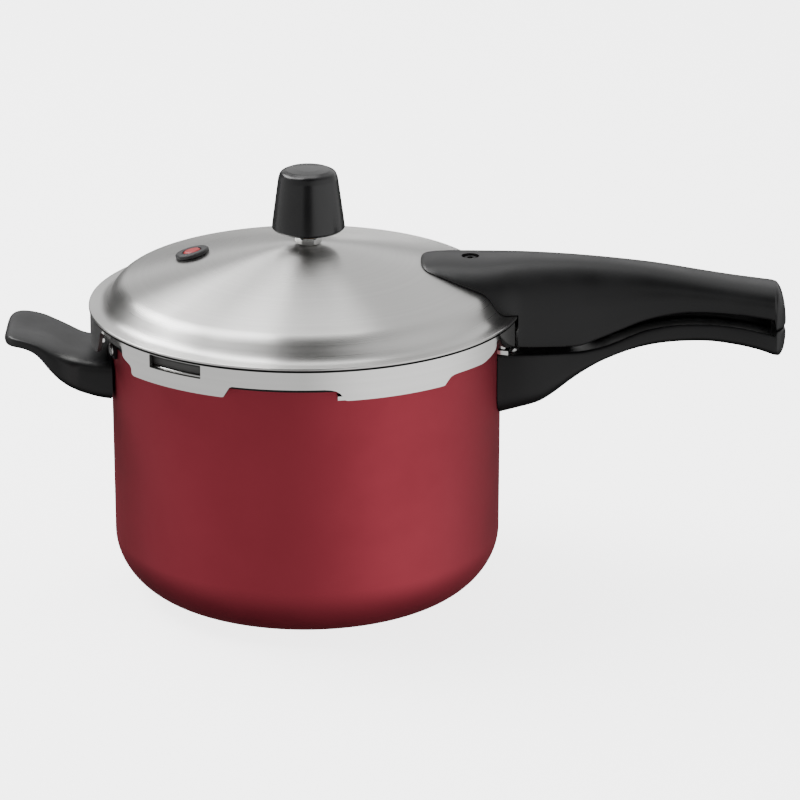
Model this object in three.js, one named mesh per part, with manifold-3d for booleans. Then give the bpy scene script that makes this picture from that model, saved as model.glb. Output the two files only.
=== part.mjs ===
// Stovetop pressure cooker with an outward-locking lid.
// Millimetres, +Z up. The origin is the centre of the pot's flat underside.
// +X points along the long handles and -X along the helper handle.

import * as THREE from 'three';
import { mergeVertices } from 'three/addons/utils/BufferGeometryUtils.js';
import { ParametricGeometry } from 'three/addons/geometries/ParametricGeometry.js';
import Module from 'manifold-3d';

const wasm = await Module();
wasm.setup();

// ---------------------------------------------------------------------------
// Driving dimensions
// ---------------------------------------------------------------------------

const ROUND_SEGMENTS = 48;
const SMALL_SEGMENTS = 12;
const GAP = 0.3;

// Pot
const POT_RADIUS = 103;
const POT_FLARE = 0.5;
const POT_WALL = 3;
const POT_BASE = 4;
const CORNER_SIZE = 31.6;
const CORNER_POWER = 1.87;
const RIM_TOP = 148.6;
const RIM_FLANGE_THICKNESS = 3;
const RIM_FLANGE_RADIUS = 106.3;

// Locking lugs, shared by the pot and the lid
const LUG_COUNT = 6;
const FIRST_LUG_ANGLE = -125.5;
const POT_LUG_RADIUS = 111.3;
const POT_LUG_LIP = 2.4;
const POT_LUG_BOTTOM = 142;
const POT_LUG_HALF_ANGLE = 13.9;
const LID_LUG_HALF_ANGLE = 15;
const LID_LIP_INNER_RADIUS = 107.2;
const LID_LUG_BOTTOM = 139.5;
const LID_LIP_THICKNESS = 2.2;

// Lid
const LID_SHEET = 2;
const DOME_TOP = 190;
const DOME_RADIUS = 94;
const DOME_DROP = 19.4;
const DOME_POWER = 1.42;
const VENT_PAD_RADIUS = 10;
const SHOULDER_START = 95;
const SHOULDER_REACHES = [0.6, 0.52];
const FLANGE_START = 111;
const FLANGE_TOP = 157.6;
const FLANGE_RADIUS = 114.9;
const SKIRT_RADIUS = 114.3;
const SKIRT_BOTTOM = 145;
const WINDOW_CENTRE = -125.2;
const WINDOW_HALF_ANGLE = 7.9;
const WINDOW_LOW = 147.8;
const WINDOW_HIGH = 154.9;

// Deep notches in the skirt, beside the handles
const NOTCHES = [
  { centre: -152.2, halfAngle: 7.3, top: 153.5 },
  { centre: -26.7, halfAngle: 2.3, top: 152.8 },
];

// Sealing ring
const SEAL_RADIUS = 111.8;
const SEAL_INNER_RADIUS = 99.8;

// Brackets and fasteners
const PLATE_INNER_RADIUS = 103.8;
const PLATE_THICKNESS = 1.6;
const TONGUE_THICKNESS = 2.5;
const RIVET_RADIUS = 2.2;
const SCREW_RADIUS = 2;
const SCREW_HEAD_RADIUS = 4.2;

// Vent and weight
const VENT_X = 1.6;
const VENT_PIPE_RADIUS = 4;
const WEIGHT_BOTTOM = 194.1;
const CAP_BOTTOM = 197;
const CAP_TOP = 230.3;
const CAP_BOTTOM_RADIUS = 19.4;
const CAP_TOP_RADIUS = 15.8;

// Safety valve
const VALVE_RADIUS_FROM_AXIS = 61;
const VALVE_ANGLE = 170;
const GROMMET_RADIUS = 9;

// Handles: [distance from the pot's axis, value] pairs
const LID_HANDLE_CREST = [[60.7, 178.9], [64, 181.4], [72, 182.2], [94, 182.1], [113, 182.6],
  [132, 182.1], [145, 181.4], [187, 176.8], [208, 173.1], [230, 169.5], [249, 166.8], [253, 161.5]];
const LID_HANDLE_UNDERSIDE = [[60.7, 170], [112, 139.8], [136, 138.6], [145, 138.9], [152.5, 141.4],
  [164.5, 145.9], [177.6, 150.9], [191, 154.1], [204, 155.4], [218, 155], [231, 153.6],
  [245, 151.4]];
const LID_HANDLE_HALF_WIDTH = [[60.7, 9], [62, 15], [65, 19], [72, 22.3], [82, 26.7], [93, 29.6],
  [103, 29.6], [114, 27.2], [140, 23], [160, 20], [180, 18], [200, 17], [225, 16.6], [249, 17.5],
  [253, 16]];
const LID_HANDLE_END_DROP = 145.6;
const LID_HANDLE_END_WALL = 6.5;
const POT_HANDLE_TOP = [[100, 134.5], [136, 134.6], [147, 135.1], [158, 137.4], [165, 140],
  [178, 145.3], [191, 147.9], [204, 148.8], [218, 148.3], [231, 146.6], [245, 143.2], [251, 141]];
const POT_HANDLE_UNDERSIDE = [[100, 97.8], [112, 101.1], [123, 104.5], [131, 109.4], [139, 116],
  [145, 120.6], [151, 124.6], [158, 128.5], [171, 133.5], [185, 136.7], [198, 138], [212, 138.1],
  [225, 136.4], [239, 133.3], [251, 129.2]];
const POT_HANDLE_HALF_WIDTH = [[100, 23], [116, 23], [140, 20.5], [160, 18.4], [180, 17.2],
  [204, 16.6], [230, 16.6], [251, 17.2]];
const POT_HANDLE_END = 251.5;
const POT_HANDLE_END_TOP = 144.9;
const HELPER_TOP = [[100, 132], [112, 132.4], [116, 132.8], [120, 133.6], [125, 135.3],
  [130, 137.5], [135, 139.7], [140, 141.9], [145, 143.4], [150, 144.5], [155, 144.8], [159, 142.8]];
const HELPER_UNDERSIDE = [[100, 108.4], [108, 109.6], [112, 110.6], [116, 111.9], [120, 113.5],
  [125, 116.7], [130, 120.9], [135, 126.5], [139, 131.8], [142, 134.8], [146, 137], [150, 138],
  [156, 138.3], [159, 139]];
const HELPER_HALF_WIDTH = [[100, 27.5], [119, 27.5], [125, 29.3], [130, 30.1], [135, 29.7],
  [141, 28.4], [149, 26.8], [154, 24.6], [157, 21], [159, 15.5]];
const HELPER_ROOT_RADIUS = 105.2;
const HANDLE_SHELL = 3.2;

// ---------------------------------------------------------------------------
// Materials
// ---------------------------------------------------------------------------

function finish(color, roughness, metalness) {
  return new THREE.MeshStandardMaterial({ color, roughness, metalness });
}

const redEnamel = finish(0x8a333b, 0.42, 0.1);
const satinAluminium = finish(0xb9b8b5, 0.36, 1);
const brightSteel = finish(0xc4c4c2, 0.25, 1);
const blackenedSteel = finish(0x262627, 0.5, 0.6);
const blackBakelite = finish(0x2e2e30, 0.45, 0);
const blackSilicone = finish(0x1c1c1e, 0.7, 0);
const greySilicone = finish(0xb4b2ac, 0.65, 0);
const redSilicone = finish(0xa51d22, 0.5, 0);
const brass = finish(0xb09050, 0.3, 1);

// ---------------------------------------------------------------------------
// Solid modelling helpers
// ---------------------------------------------------------------------------

const radians = THREE.MathUtils.degToRad;

function solidFrom(geometry) {
  const bare = geometry.clone();
  bare.deleteAttribute('normal');
  bare.deleteAttribute('uv');
  const merged = mergeVertices(bare, 1e-4);
  const corners = merged.index.array;
  const triVerts = [];
  for (let i = 0; i < corners.length; i += 3) {
    const [a, b, c] = [corners[i], corners[i + 1], corners[i + 2]];
    if (a !== b && b !== c && c !== a) {
      triVerts.push(a, b, c);
    }
  }
  return new wasm.Manifold(new wasm.Mesh({
    numProp: 3,
    vertProperties: new Float32Array(merged.attributes.position.array),
    triVerts: new Uint32Array(triVerts),
  }));
}

function geometryFrom(solid) {
  const mesh = solid.getMesh();
  const geometry = new THREE.BufferGeometry();
  geometry.setAttribute('position', new THREE.BufferAttribute(mesh.vertProperties, 3));
  geometry.setIndex(new THREE.BufferAttribute(mesh.triVerts, 1));
  geometry.computeVertexNormals();
  return geometry;
}

// A solid of revolution about Z. The outline runs anticlockwise in (radius, height).
// It is turned so that its facets line up with the edges of the locking lugs.
function revolved(outline, segments = ROUND_SEGMENTS) {
  const points = outline.map(([radius, height]) => new THREE.Vector2(radius, height));
  return new THREE.LatheGeometry(points, segments)
    .rotateX(Math.PI / 2)
    .rotateZ(radians(FIRST_LUG_ANGLE));
}

function cylinderUp(radius, bottom, top, x = 0, y = 0, segments = SMALL_SEGMENTS) {
  return new THREE.CylinderGeometry(radius, radius, top - bottom, segments)
    .rotateX(Math.PI / 2)
    .rotateZ(radians(FIRST_LUG_ANGLE))
    .translate(x, y, (bottom + top) / 2);
}

function block(x0, x1, y0, y1, z0, z1) {
  return new THREE.BoxGeometry(x1 - x0, y1 - y0, z1 - z0)
    .translate((x0 + x1) / 2, (y0 + y1) / 2, (z0 + z1) / 2);
}

// Part of a ring about Z, centred on an angle in degrees from +X.
function ringSector(inner, outer, bottom, top, centre, halfAngle, curveSegments = 4) {
  const shape = new THREE.Shape();
  const half = radians(halfAngle);
  shape.absarc(0, 0, outer, -half, half, false);
  shape.absarc(0, 0, inner, half, -half, true);
  const options = { depth: top - bottom, bevelEnabled: false, curveSegments };
  return new THREE.ExtrudeGeometry(shape, options)
    .translate(0, 0, bottom)
    .rotateZ(radians(centre));
}

// A flat outline in (x, z), given as points, extruded symmetrically about the XZ plane.
function sidePlate(points, halfWidth) {
  const shape = new THREE.Shape(points.map(([x, z]) => new THREE.Vector2(x, z)));
  return new THREE.ExtrudeGeometry(shape, { depth: 2 * halfWidth, bevelEnabled: false })
    .translate(0, 0, -halfWidth)
    .rotateX(Math.PI / 2);
}

// Smooth curve through [position, value] pairs, read by position.
function smoothThrough(pairs) {
  const slopeAt = (i) => {
    const before = pairs[Math.max(i - 1, 0)];
    const after = pairs[Math.min(i + 1, pairs.length - 1)];
    return (after[1] - before[1]) / (after[0] - before[0]);
  };
  return (position) => {
    let i = 0;
    while (i < pairs.length - 2 && position > pairs[i + 1][0]) {
      i += 1;
    }
    const span = pairs[i + 1][0] - pairs[i][0];
    const t = THREE.MathUtils.clamp((position - pairs[i][0]) / span, 0, 1);
    const [start, end] = [pairs[i][1], pairs[i + 1][1]];
    const [startSlope, endSlope] = [slopeAt(i) * span, slopeAt(i + 1) * span];
    return start * (2 * t ** 3 - 3 * t ** 2 + 1) + startSlope * (t ** 3 - 2 * t ** 2 + t)
      + end * (3 * t ** 2 - 2 * t ** 3) + endSlope * (t ** 3 - t ** 2);
  };
}

// A handle-like body along +X between two stations. Each section is a rounded box whose
// upper corners follow a superellipse and whose lower corners are tighter.
function handleLoft({ from, to, top, bottom, halfWidth, upperPower = 2.6, lowerPower = 8,
  around = 20, stations = 22 }) {
  const signedPower = (value, power) => Math.sign(value) * Math.abs(value) ** power;
  const surface = (u, v, target) => {
    const step = v * stations;
    const x = THREE.MathUtils.lerp(from, to, THREE.MathUtils.clamp((step - 1) / (stations - 2), 0, 1));
    const [high, low] = [top(x), bottom(x)];
    const middle = THREE.MathUtils.lerp(low, high, 0.45);
    if (step < 0.5 || step > stations - 0.5) {
      target.set(x, 0, middle);
      return;
    }
    const angle = (u % 1) * 2 * Math.PI;
    const [across, up] = [Math.cos(angle), Math.sin(angle)];
    const power = 2 / (up >= 0 ? upperPower : lowerPower);
    const height = up >= 0 ? high - middle : middle - low;
    target.set(x, halfWidth(x) * signedPower(across, power), middle + height * signedPower(up, power));
  };
  return solidFrom(new ParametricGeometry(surface, around, stations));
}

// ---------------------------------------------------------------------------
// Shared shapes
// ---------------------------------------------------------------------------

function domeHeight(radius) {
  return DOME_TOP - DOME_DROP * (radius / DOME_RADIUS) ** DOME_POWER;
}

function domeSlope(radius) {
  return Math.atan(DOME_DROP * DOME_POWER / DOME_RADIUS * (radius / DOME_RADIUS) ** (DOME_POWER - 1));
}

// Outer surface of the lid from the axis to the flange, shifted down by `drop`.
// The middle is a flat pad for the vent pipe.
function lidTopOutline(drop) {
  const outline = [[0, domeHeight(VENT_PAD_RADIUS) - drop]];
  const domeSteps = 6;
  for (let i = 0; i <= domeSteps; i += 1) {
    const radius = THREE.MathUtils.lerp(VENT_PAD_RADIUS, SHOULDER_START, i / domeSteps);
    outline.push([radius, domeHeight(radius) - drop]);
  }
  const width = FLANGE_START - SHOULDER_START;
  const [leave, arrive] = SHOULDER_REACHES.map((share) => share * width);
  const slope = domeSlope(SHOULDER_START);
  const start = new THREE.Vector2(SHOULDER_START, domeHeight(SHOULDER_START));
  const shoulder = new THREE.CubicBezierCurve(
    start,
    new THREE.Vector2(start.x + leave * Math.cos(slope), start.y - leave * Math.sin(slope)),
    new THREE.Vector2(FLANGE_START - arrive, FLANGE_TOP),
    new THREE.Vector2(FLANGE_START, FLANGE_TOP),
  );
  for (const point of shoulder.getPoints(5).slice(1)) {
    outline.push([point.x, point.y - drop]);
  }
  return outline;
}

function lugAngles() {
  return Array.from({ length: LUG_COUNT }, (_, i) => FIRST_LUG_ANGLE + i * 360 / LUG_COUNT);
}

function joined(solids) {
  return solids.reduce((whole, solid) => whole.add(solid));
}

function radialCylinder(radius, from, to, angle, height) {
  return new THREE.CylinderGeometry(radius, radius, to - from, SMALL_SEGMENTS)
    .rotateZ(-Math.PI / 2)
    .translate((from + to) / 2, 0, 0)
    .rotateZ(radians(angle))
    .translate(0, 0, height);
}

// Everything a lid-mounted piece has to stay clear of: the lid's outside plus the gap.
function lidKeepOut() {
  const outline = lidTopOutline(-GAP).reverse();
  return solidFrom(revolved([
    [0, 120],
    [SKIRT_RADIUS + 1, 120],
    [SKIRT_RADIUS + 1, FLANGE_TOP + GAP],
    ...outline,
  ]));
}

function potKeepOut() {
  return solidFrom(cylinderUp(POT_RADIUS + POT_FLARE + 0.4, 60, RIM_TOP, 0, 0, ROUND_SEGMENTS));
}

// ---------------------------------------------------------------------------
// Pot
// ---------------------------------------------------------------------------

function cornerOutline(flatRadius, centreHeight, across, down, steps) {
  return Array.from({ length: steps + 1 }, (_, i) => {
    const angle = -Math.PI / 2 + (Math.PI / 2) * (i / steps);
    const power = 2 / CORNER_POWER;
    return [
      flatRadius + across * Math.abs(Math.cos(angle)) ** power,
      centreHeight - down * Math.abs(Math.sin(angle)) ** power,
    ];
  });
}

const RIVET_HEIGHTS = [112, 137];
const HELPER_RIVET_HEIGHT = 139.8;
const HELPER_RIVET_ANGLE = 16.2;

function potBody() {
  const flat = POT_RADIUS - CORNER_SIZE;
  const outside = cornerOutline(flat, CORNER_SIZE, CORNER_SIZE, CORNER_SIZE, 7);
  const inside = cornerOutline(flat, CORNER_SIZE, CORNER_SIZE - POT_WALL, CORNER_SIZE - POT_BASE, 6);
  const flareRadius = POT_RADIUS + POT_FLARE;
  const shell = solidFrom(revolved([
    [0, 0],
    ...outside,
    [flareRadius, RIM_TOP - RIM_FLANGE_THICKNESS - 1.5],
    [RIM_FLANGE_RADIUS, RIM_TOP - RIM_FLANGE_THICKNESS],
    [RIM_FLANGE_RADIUS, RIM_TOP],
    [flareRadius - POT_WALL, RIM_TOP],
    ...inside.reverse(),
    [0, POT_BASE],
  ]));
  const lugs = lugAngles().flatMap((angle) => [
    solidFrom(ringSector(flareRadius - 1, POT_LUG_RADIUS, RIM_TOP - RIM_FLANGE_THICKNESS, RIM_TOP,
      angle, POT_LUG_HALF_ANGLE)),
    solidFrom(ringSector(POT_LUG_RADIUS - POT_LUG_LIP, POT_LUG_RADIUS, POT_LUG_BOTTOM, RIM_TOP,
      angle, POT_LUG_HALF_ANGLE)),
  ]);
  const holes = [
    ...RIVET_HEIGHTS.map((height) => [0, height]),
    [180 - HELPER_RIVET_ANGLE, HELPER_RIVET_HEIGHT],
    [180 + HELPER_RIVET_ANGLE, HELPER_RIVET_HEIGHT],
  ].map(([angle, height]) => solidFrom(radialCylinder(RIVET_RADIUS + GAP, 95, 110, angle, height)));
  return geometryFrom(joined([shell, ...lugs]).subtract(joined(holes)));
}

// Rivet along a radius of the pot: a head inside, a shank, and a low head outside.
function wallRivet(angle, height, outerFace) {
  const insideFace = POT_RADIUS - POT_WALL - GAP;
  return revolved([
    [0, insideFace - 1.3],
    [3.4, insideFace - 1.3],
    [4.6, insideFace],
    [RIVET_RADIUS, insideFace],
    [RIVET_RADIUS, outerFace + GAP],
    [3.8, outerFace + GAP],
    [3, outerFace + GAP + 1.1],
    [0, outerFace + GAP + 1.1],
  ], SMALL_SEGMENTS)
    .rotateY(Math.PI / 2)
    .rotateZ(radians(angle))
    .translate(0, 0, height);
}

// ---------------------------------------------------------------------------
// Long handle on the pot
// ---------------------------------------------------------------------------

const PLATE_OUTER_RADIUS = PLATE_INNER_RADIUS + PLATE_THICKNESS;
const POT_TONGUE = { low: 124.5, from: 104.6, to: 133, halfWidth: 10 };
const POT_SCREW_X = 122;
const ROOT_BOLT_X = 109.5;
const ROOT_BOLT_Y = 16.5;

function potHandleBracketSolid(grow) {
  const plate = ringSector(PLATE_INNER_RADIUS - grow, PLATE_OUTER_RADIUS + grow, 106 - grow, 143.9 + grow,
    0, 9 + grow / 2);
  const { low, from, to, halfWidth } = POT_TONGUE;
  const tongue = block(from, to + grow, -halfWidth - grow, halfWidth + grow, low - grow,
    low + TONGUE_THICKNESS + grow);
  return solidFrom(plate).add(solidFrom(tongue));
}

function potHandleBracket() {
  const holes = RIVET_HEIGHTS.map((height) => solidFrom(
    radialCylinder(RIVET_RADIUS + GAP, 100, 110, 0, height)));
  const screwHole = solidFrom(cylinderUp(SCREW_RADIUS + GAP, 120, 130, POT_SCREW_X));
  return geometryFrom(potHandleBracketSolid(0).subtract(joined([...holes, screwHole])));
}

function potHandle() {
  const [top, bottom, halfWidth] = [POT_HANDLE_TOP, POT_HANDLE_UNDERSIDE, POT_HANDLE_HALF_WIDTH]
    .map(smoothThrough);
  const body = handleLoft({ from: 100, to: POT_HANDLE_END, top, bottom, halfWidth, upperPower: 9,
    lowerPower: 3.4 });
  const endWall = handleLoft({ from: POT_HANDLE_END - 4.5, to: POT_HANDLE_END + 1.3,
    top: () => POT_HANDLE_END_TOP,
    bottom: (x) => bottom(Math.min(x, 251)), halfWidth: (x) => halfWidth(Math.min(x, 251)) - 0.4,
    upperPower: 5, lowerPower: 3.4, around: 16, stations: 4 });
  const trough = handleLoft({ from: 140, to: POT_HANDLE_END - 5,
    top: (x) => top(x) + 20, bottom: (x) => Math.max(bottom(x) + HANDLE_SHELL, top(x) - 7),
    halfWidth: (x) => halfWidth(x) - HANDLE_SHELL, upperPower: 12, lowerPower: 6, around: 12,
    stations: 14 });
  const rivetPockets = RIVET_HEIGHTS.map((height) => solidFrom(radialCylinder(4.6, 103, 107.6, 0, height)));
  const screwHole = [
    solidFrom(cylinderUp(SCREW_HEAD_RADIUS + 0.4, 90, 112.6, POT_SCREW_X)),
    solidFrom(cylinderUp(SCREW_RADIUS + GAP, 100, 131.6, POT_SCREW_X)),
  ];
  const boltHoles = [-ROOT_BOLT_Y, ROOT_BOLT_Y].map((y) => solidFrom(
    cylinderUp(1.5 + GAP, 119.5, 140, ROOT_BOLT_X, y)));
  const cuts = joined([trough, potKeepOut(), potHandleBracketSolid(0.35), ...rivetPockets,
    ...screwHole, ...boltHoles]);
  return geometryFrom(body.add(endWall).subtract(cuts));
}

function headedScrew(headBottom, tip, x, headHeight = 2.6) {
  const shoulder = headBottom + headHeight;
  return revolved([
    [0, headBottom + 1],
    [1.4, headBottom + 1],
    [1.6, headBottom],
    [SCREW_HEAD_RADIUS - 0.6, headBottom],
    [SCREW_HEAD_RADIUS, headBottom + 0.7],
    [SCREW_HEAD_RADIUS, shoulder],
    [SCREW_RADIUS, shoulder],
    [SCREW_RADIUS, tip - 1.5],
    [0.9, tip],
    [0, tip],
  ], SMALL_SEGMENTS).translate(x, 0, 0);
}

function rootBolt() {
  return revolved([[0, 120], [1.5, 120], [1.5, 137.8], [1, 138.6], [0, 138.6]], SMALL_SEGMENTS);
}

function hexNut(acrossCorners, bore, bottom, top) {
  const outside = solidFrom(cylinderUp(acrossCorners / 2, bottom, top, 0, 0, 6));
  return geometryFrom(outside.subtract(solidFrom(cylinderUp(bore, bottom - 1, top + 1))));
}

// ---------------------------------------------------------------------------
// Helper handle
// ---------------------------------------------------------------------------

const HELPER_TONGUE = { low: 121, from: 104.6, to: 127, halfWidth: 12 };
const HELPER_SCREW_X = 119;

function helperBracketSolid(grow) {
  const plate = ringSector(PLATE_INNER_RADIUS - grow, PLATE_OUTER_RADIUS + grow, 112 - grow, 136 + grow,
    0, 10 + grow / 2);
  const strap = ringSector(PLATE_INNER_RADIUS - grow, PLATE_OUTER_RADIUS + grow, 135.4 - grow, 143.8 + grow,
    0, 18.4 + grow / 2);
  const { low, from, to, halfWidth } = HELPER_TONGUE;
  const tongue = block(from, to + grow, -halfWidth - grow, halfWidth + grow, low - grow,
    low + TONGUE_THICKNESS + grow);
  return joined([solidFrom(plate), solidFrom(strap), solidFrom(tongue)]);
}

function helperBracket() {
  const holes = [-HELPER_RIVET_ANGLE, HELPER_RIVET_ANGLE].map((angle) => solidFrom(
    radialCylinder(RIVET_RADIUS + GAP, 100, 110, angle, HELPER_RIVET_HEIGHT)));
  const screwHole = solidFrom(cylinderUp(SCREW_RADIUS + GAP, 115, 127, HELPER_SCREW_X));
  return geometryFrom(helperBracketSolid(0).subtract(joined([...holes, screwHole])))
    .rotateZ(Math.PI);
}

function helperHandle() {
  const [top, bottom, halfWidth] = [HELPER_TOP, HELPER_UNDERSIDE, HELPER_HALF_WIDTH].map(smoothThrough);
  const body = handleLoft({ from: 100, to: 159.4, top, bottom, halfWidth, upperPower: 6,
    lowerPower: 5, stations: 20 });
  const cuts = joined([
    solidFrom(cylinderUp(HELPER_ROOT_RADIUS, 60, RIM_TOP, 0, 0, ROUND_SEGMENTS)),
    helperBracketSolid(0.35),
    solidFrom(cylinderUp(SCREW_HEAD_RADIUS + 0.4, 100, 117.1, HELPER_SCREW_X)),
    solidFrom(cylinderUp(SCREW_RADIUS + GAP, 110, 129, HELPER_SCREW_X)),
  ]);
  return geometryFrom(body.subtract(cuts)).rotateZ(Math.PI);
}

// ---------------------------------------------------------------------------
// Sealing ring
// ---------------------------------------------------------------------------

function sealingRing() {
  const low = RIM_TOP + GAP;
  const high = FLANGE_TOP - LID_SHEET - GAP;
  const lip = 1.2;
  return revolved([
    [SEAL_RADIUS, low],
    [SEAL_RADIUS, high],
    [SEAL_INNER_RADIUS, high],
    [SEAL_INNER_RADIUS, high - lip],
    [SEAL_RADIUS - 4.2, high - 2.2],
    [SEAL_RADIUS - 4.2, low + 2.2],
    [SEAL_INNER_RADIUS, low + lip],
    [SEAL_INNER_RADIUS, low],
    [SEAL_RADIUS, low],
  ]);
}

// ---------------------------------------------------------------------------
// Lid
// ---------------------------------------------------------------------------

const LID_RIVETS = [[79.5, -7.5], [79.5, 7.5]];

// A frame on the dome's outside: local Z is the dome's normal.
function onDome(x, y) {
  const radius = Math.hypot(x, y);
  const group = new THREE.Object3D();
  group.position.set(x, y, domeHeight(radius));
  group.rotation.set(0, domeSlope(radius), Math.atan2(y, x), 'ZYX');
  group.updateMatrix();
  return group.matrix;
}

function lidShell() {
  const inner = SKIRT_RADIUS - LID_SHEET;
  const underside = lidTopOutline(LID_SHEET);
  const shell = solidFrom(revolved([
    ...underside,
    [inner, FLANGE_TOP - LID_SHEET],
    [inner, SKIRT_BOTTOM],
    [SKIRT_RADIUS, SKIRT_BOTTOM],
    [SKIRT_RADIUS, FLANGE_TOP - 1.7],
    [FLANGE_RADIUS, FLANGE_TOP - 1.4],
    [FLANGE_RADIUS, FLANGE_TOP - 0.4],
    [FLANGE_RADIUS - 0.4, FLANGE_TOP],
    ...lidTopOutline(0).reverse(),
  ]));
  const lugs = lugAngles().flatMap((angle) => [
    solidFrom(ringSector(inner, SKIRT_RADIUS, LID_LUG_BOTTOM, SKIRT_BOTTOM + 1, angle, LID_LUG_HALF_ANGLE)),
    solidFrom(ringSector(LID_LIP_INNER_RADIUS, inner + 0.5, LID_LUG_BOTTOM,
      LID_LUG_BOTTOM + LID_LIP_THICKNESS, angle, LID_LUG_HALF_ANGLE)),
  ]);
  const valve = onDome(...valvePlace());
  const cuts = [
    solidFrom(ringSector(inner - 1, SKIRT_RADIUS + 1, WINDOW_LOW, WINDOW_HIGH, WINDOW_CENTRE,
      WINDOW_HALF_ANGLE)),
    ...NOTCHES.map(({ centre, halfAngle, top }) => solidFrom(
      ringSector(inner - 1, SKIRT_RADIUS + 1, SKIRT_BOTTOM - 1, top, centre, halfAngle))),
    solidFrom(cylinderUp(VENT_PIPE_RADIUS + GAP, 180, 195, VENT_X)),
    solidFrom(cylinderUp(6.6, -6, 4).applyMatrix4(valve)),
    ...LID_RIVETS.map(([x, y]) => solidFrom(
      cylinderUp(RIVET_RADIUS + GAP, -6, 4).applyMatrix4(onDome(x, y)))),
  ];
  return geometryFrom(joined([shell, ...lugs]).subtract(joined(cuts)));
}

// ---------------------------------------------------------------------------
// Long handle on the lid
// ---------------------------------------------------------------------------

const LID_SCREW_FRONT_X = 87;
const LID_SCREW_REAR_X = 156;
const STRAP = { low: 171.4, thickness: 2.4, end: 166, halfWidth: 12 };

function lidBracketSolid(grow) {
  const pad = [72, 77, 82, 87, 92];
  const under = pad.map((x) => [x, domeHeight(x) + 0.4 - grow]);
  const over = pad.map((x) => [x, domeHeight(x) + 2.9 + grow]).reverse();
  const { low, thickness, end, halfWidth } = STRAP;
  return solidFrom(sidePlate([
    [pad[0] - grow, under[0][1]],
    ...under,
    [96, low - grow],
    [end + grow, low - grow],
    [end + grow, low + thickness + grow],
    [97, low + thickness + grow],
    ...over,
    [pad[0] - grow, over[over.length - 1][1]],
  ], halfWidth + grow));
}

function lidHandleBracket() {
  const holes = [
    ...LID_RIVETS.map(([x, y]) => solidFrom(
      cylinderUp(RIVET_RADIUS + GAP, -4, 8).applyMatrix4(onDome(x, y)))),
    solidFrom(cylinderUp(SCREW_RADIUS + GAP, 165, 185, LID_SCREW_FRONT_X)),
    solidFrom(cylinderUp(SCREW_RADIUS + GAP, 165, 185, LID_SCREW_REAR_X)),
  ];
  return geometryFrom(lidBracketSolid(0).subtract(joined(holes)));
}

function lidRivet(x, y) {
  const under = -LID_SHEET - 0.4;
  return revolved([
    [0, under - 1.3],
    [3.2, under - 1.3],
    [4, under],
    [RIVET_RADIUS, under],
    [RIVET_RADIUS, 3.3],
    [3.8, 3.3],
    [3.3, 3.9],
    [0, 3.9],
  ], SMALL_SEGMENTS).applyMatrix4(onDome(x, y));
}

function lidHandle() {
  const [crest, underside, halfWidth] = [LID_HANDLE_CREST, LID_HANDLE_UNDERSIDE, LID_HANDLE_HALF_WIDTH]
    .map(smoothThrough);
  const body = handleLoft({ from: 60.7, to: 253, top: crest, bottom: (x) => underside(Math.min(x, 245)),
    halfWidth, around: 24, stations: 30, lowerPower: 10 });
  const endWall = handleLoft({ from: 253 - LID_HANDLE_END_WALL, to: 254.4,
    top: (x) => 163.2 - (x - 246.5) * 0.9, bottom: () => LID_HANDLE_END_DROP,
    halfWidth: () => 16.8, upperPower: 4, lowerPower: 5, around: 16, stations: 4 });
  const hollow = handleLoft({ from: 70, to: 253 - LID_HANDLE_END_WALL - 0.5,
    top: (x) => crest(x) - 2.6, bottom: () => 120,
    halfWidth: (x) => Math.min(halfWidth(x) - HANDLE_SHELL, 14 + Math.max(x - 72, 0) * 0.6),
    upperPower: 14, lowerPower: 10, around: 16, stations: 20 });
  const bosses = [
    solidFrom(cylinderUp(5.5, 170, 180, LID_SCREW_FRONT_X)),
    solidFrom(cylinderUp(5.5, 172.5, 179.5, LID_SCREW_REAR_X)),
  ];
  const screwHoles = [
    solidFrom(cylinderUp(SCREW_RADIUS + GAP, 160, 190, LID_SCREW_FRONT_X)),
    solidFrom(cylinderUp(4.6, 178.3, 190, LID_SCREW_FRONT_X)),
    solidFrom(cylinderUp(SCREW_RADIUS + GAP, 160, 179, LID_SCREW_REAR_X)),
  ];
  const shell = body.add(endWall).subtract(hollow);
  return geometryFrom(joined([shell, ...bosses]).subtract(
    joined([lidKeepOut(), lidBracketSolid(0.35), ...screwHoles])));
}

function lidHandleScrewFront() {
  return headedScrew(0, 8.3, 0).rotateX(Math.PI).translate(LID_SCREW_FRONT_X, 0, 181.2);
}

function lidHandleScrewRear() {
  return headedScrew(STRAP.low - GAP - 2.6, 178.4, LID_SCREW_REAR_X);
}

function lidHandleCover() {
  const [underside, halfWidth] = [LID_HANDLE_UNDERSIDE, LID_HANDLE_HALF_WIDTH].map(smoothThrough);
  return geometryFrom(handleLoft({ from: 118, to: 245.4,
    top: (x) => underside(Math.min(x, 245)) + 7.5, bottom: (x) => underside(Math.min(x, 245)) + 5.5,
    halfWidth: (x) => halfWidth(x) - HANDLE_SHELL - 0.5,
    upperPower: 10, lowerPower: 10, around: 8, stations: 16 }));
}

// ---------------------------------------------------------------------------
// Vent pipe and regulator weight
// ---------------------------------------------------------------------------

const VENT_BORE = 1.6;

// Moves a piece modelled about the vent axis, with the pad's top at height 0, into place.
function onVentPad(geometry) {
  return geometry.translate(VENT_X, 0, domeHeight(VENT_PAD_RADIUS));
}

function ventPipe() {
  return onVentPad(revolved([
    [VENT_BORE, -8],
    [7.5, -8],
    [7.5, -4.2],
    [VENT_PIPE_RADIUS, -4.2],
    [VENT_PIPE_RADIUS, 11.8],
    [2.6, 15.6],
    [VENT_BORE, 15.6],
    [VENT_BORE, -8],
  ], SMALL_SEGMENTS));
}

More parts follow.
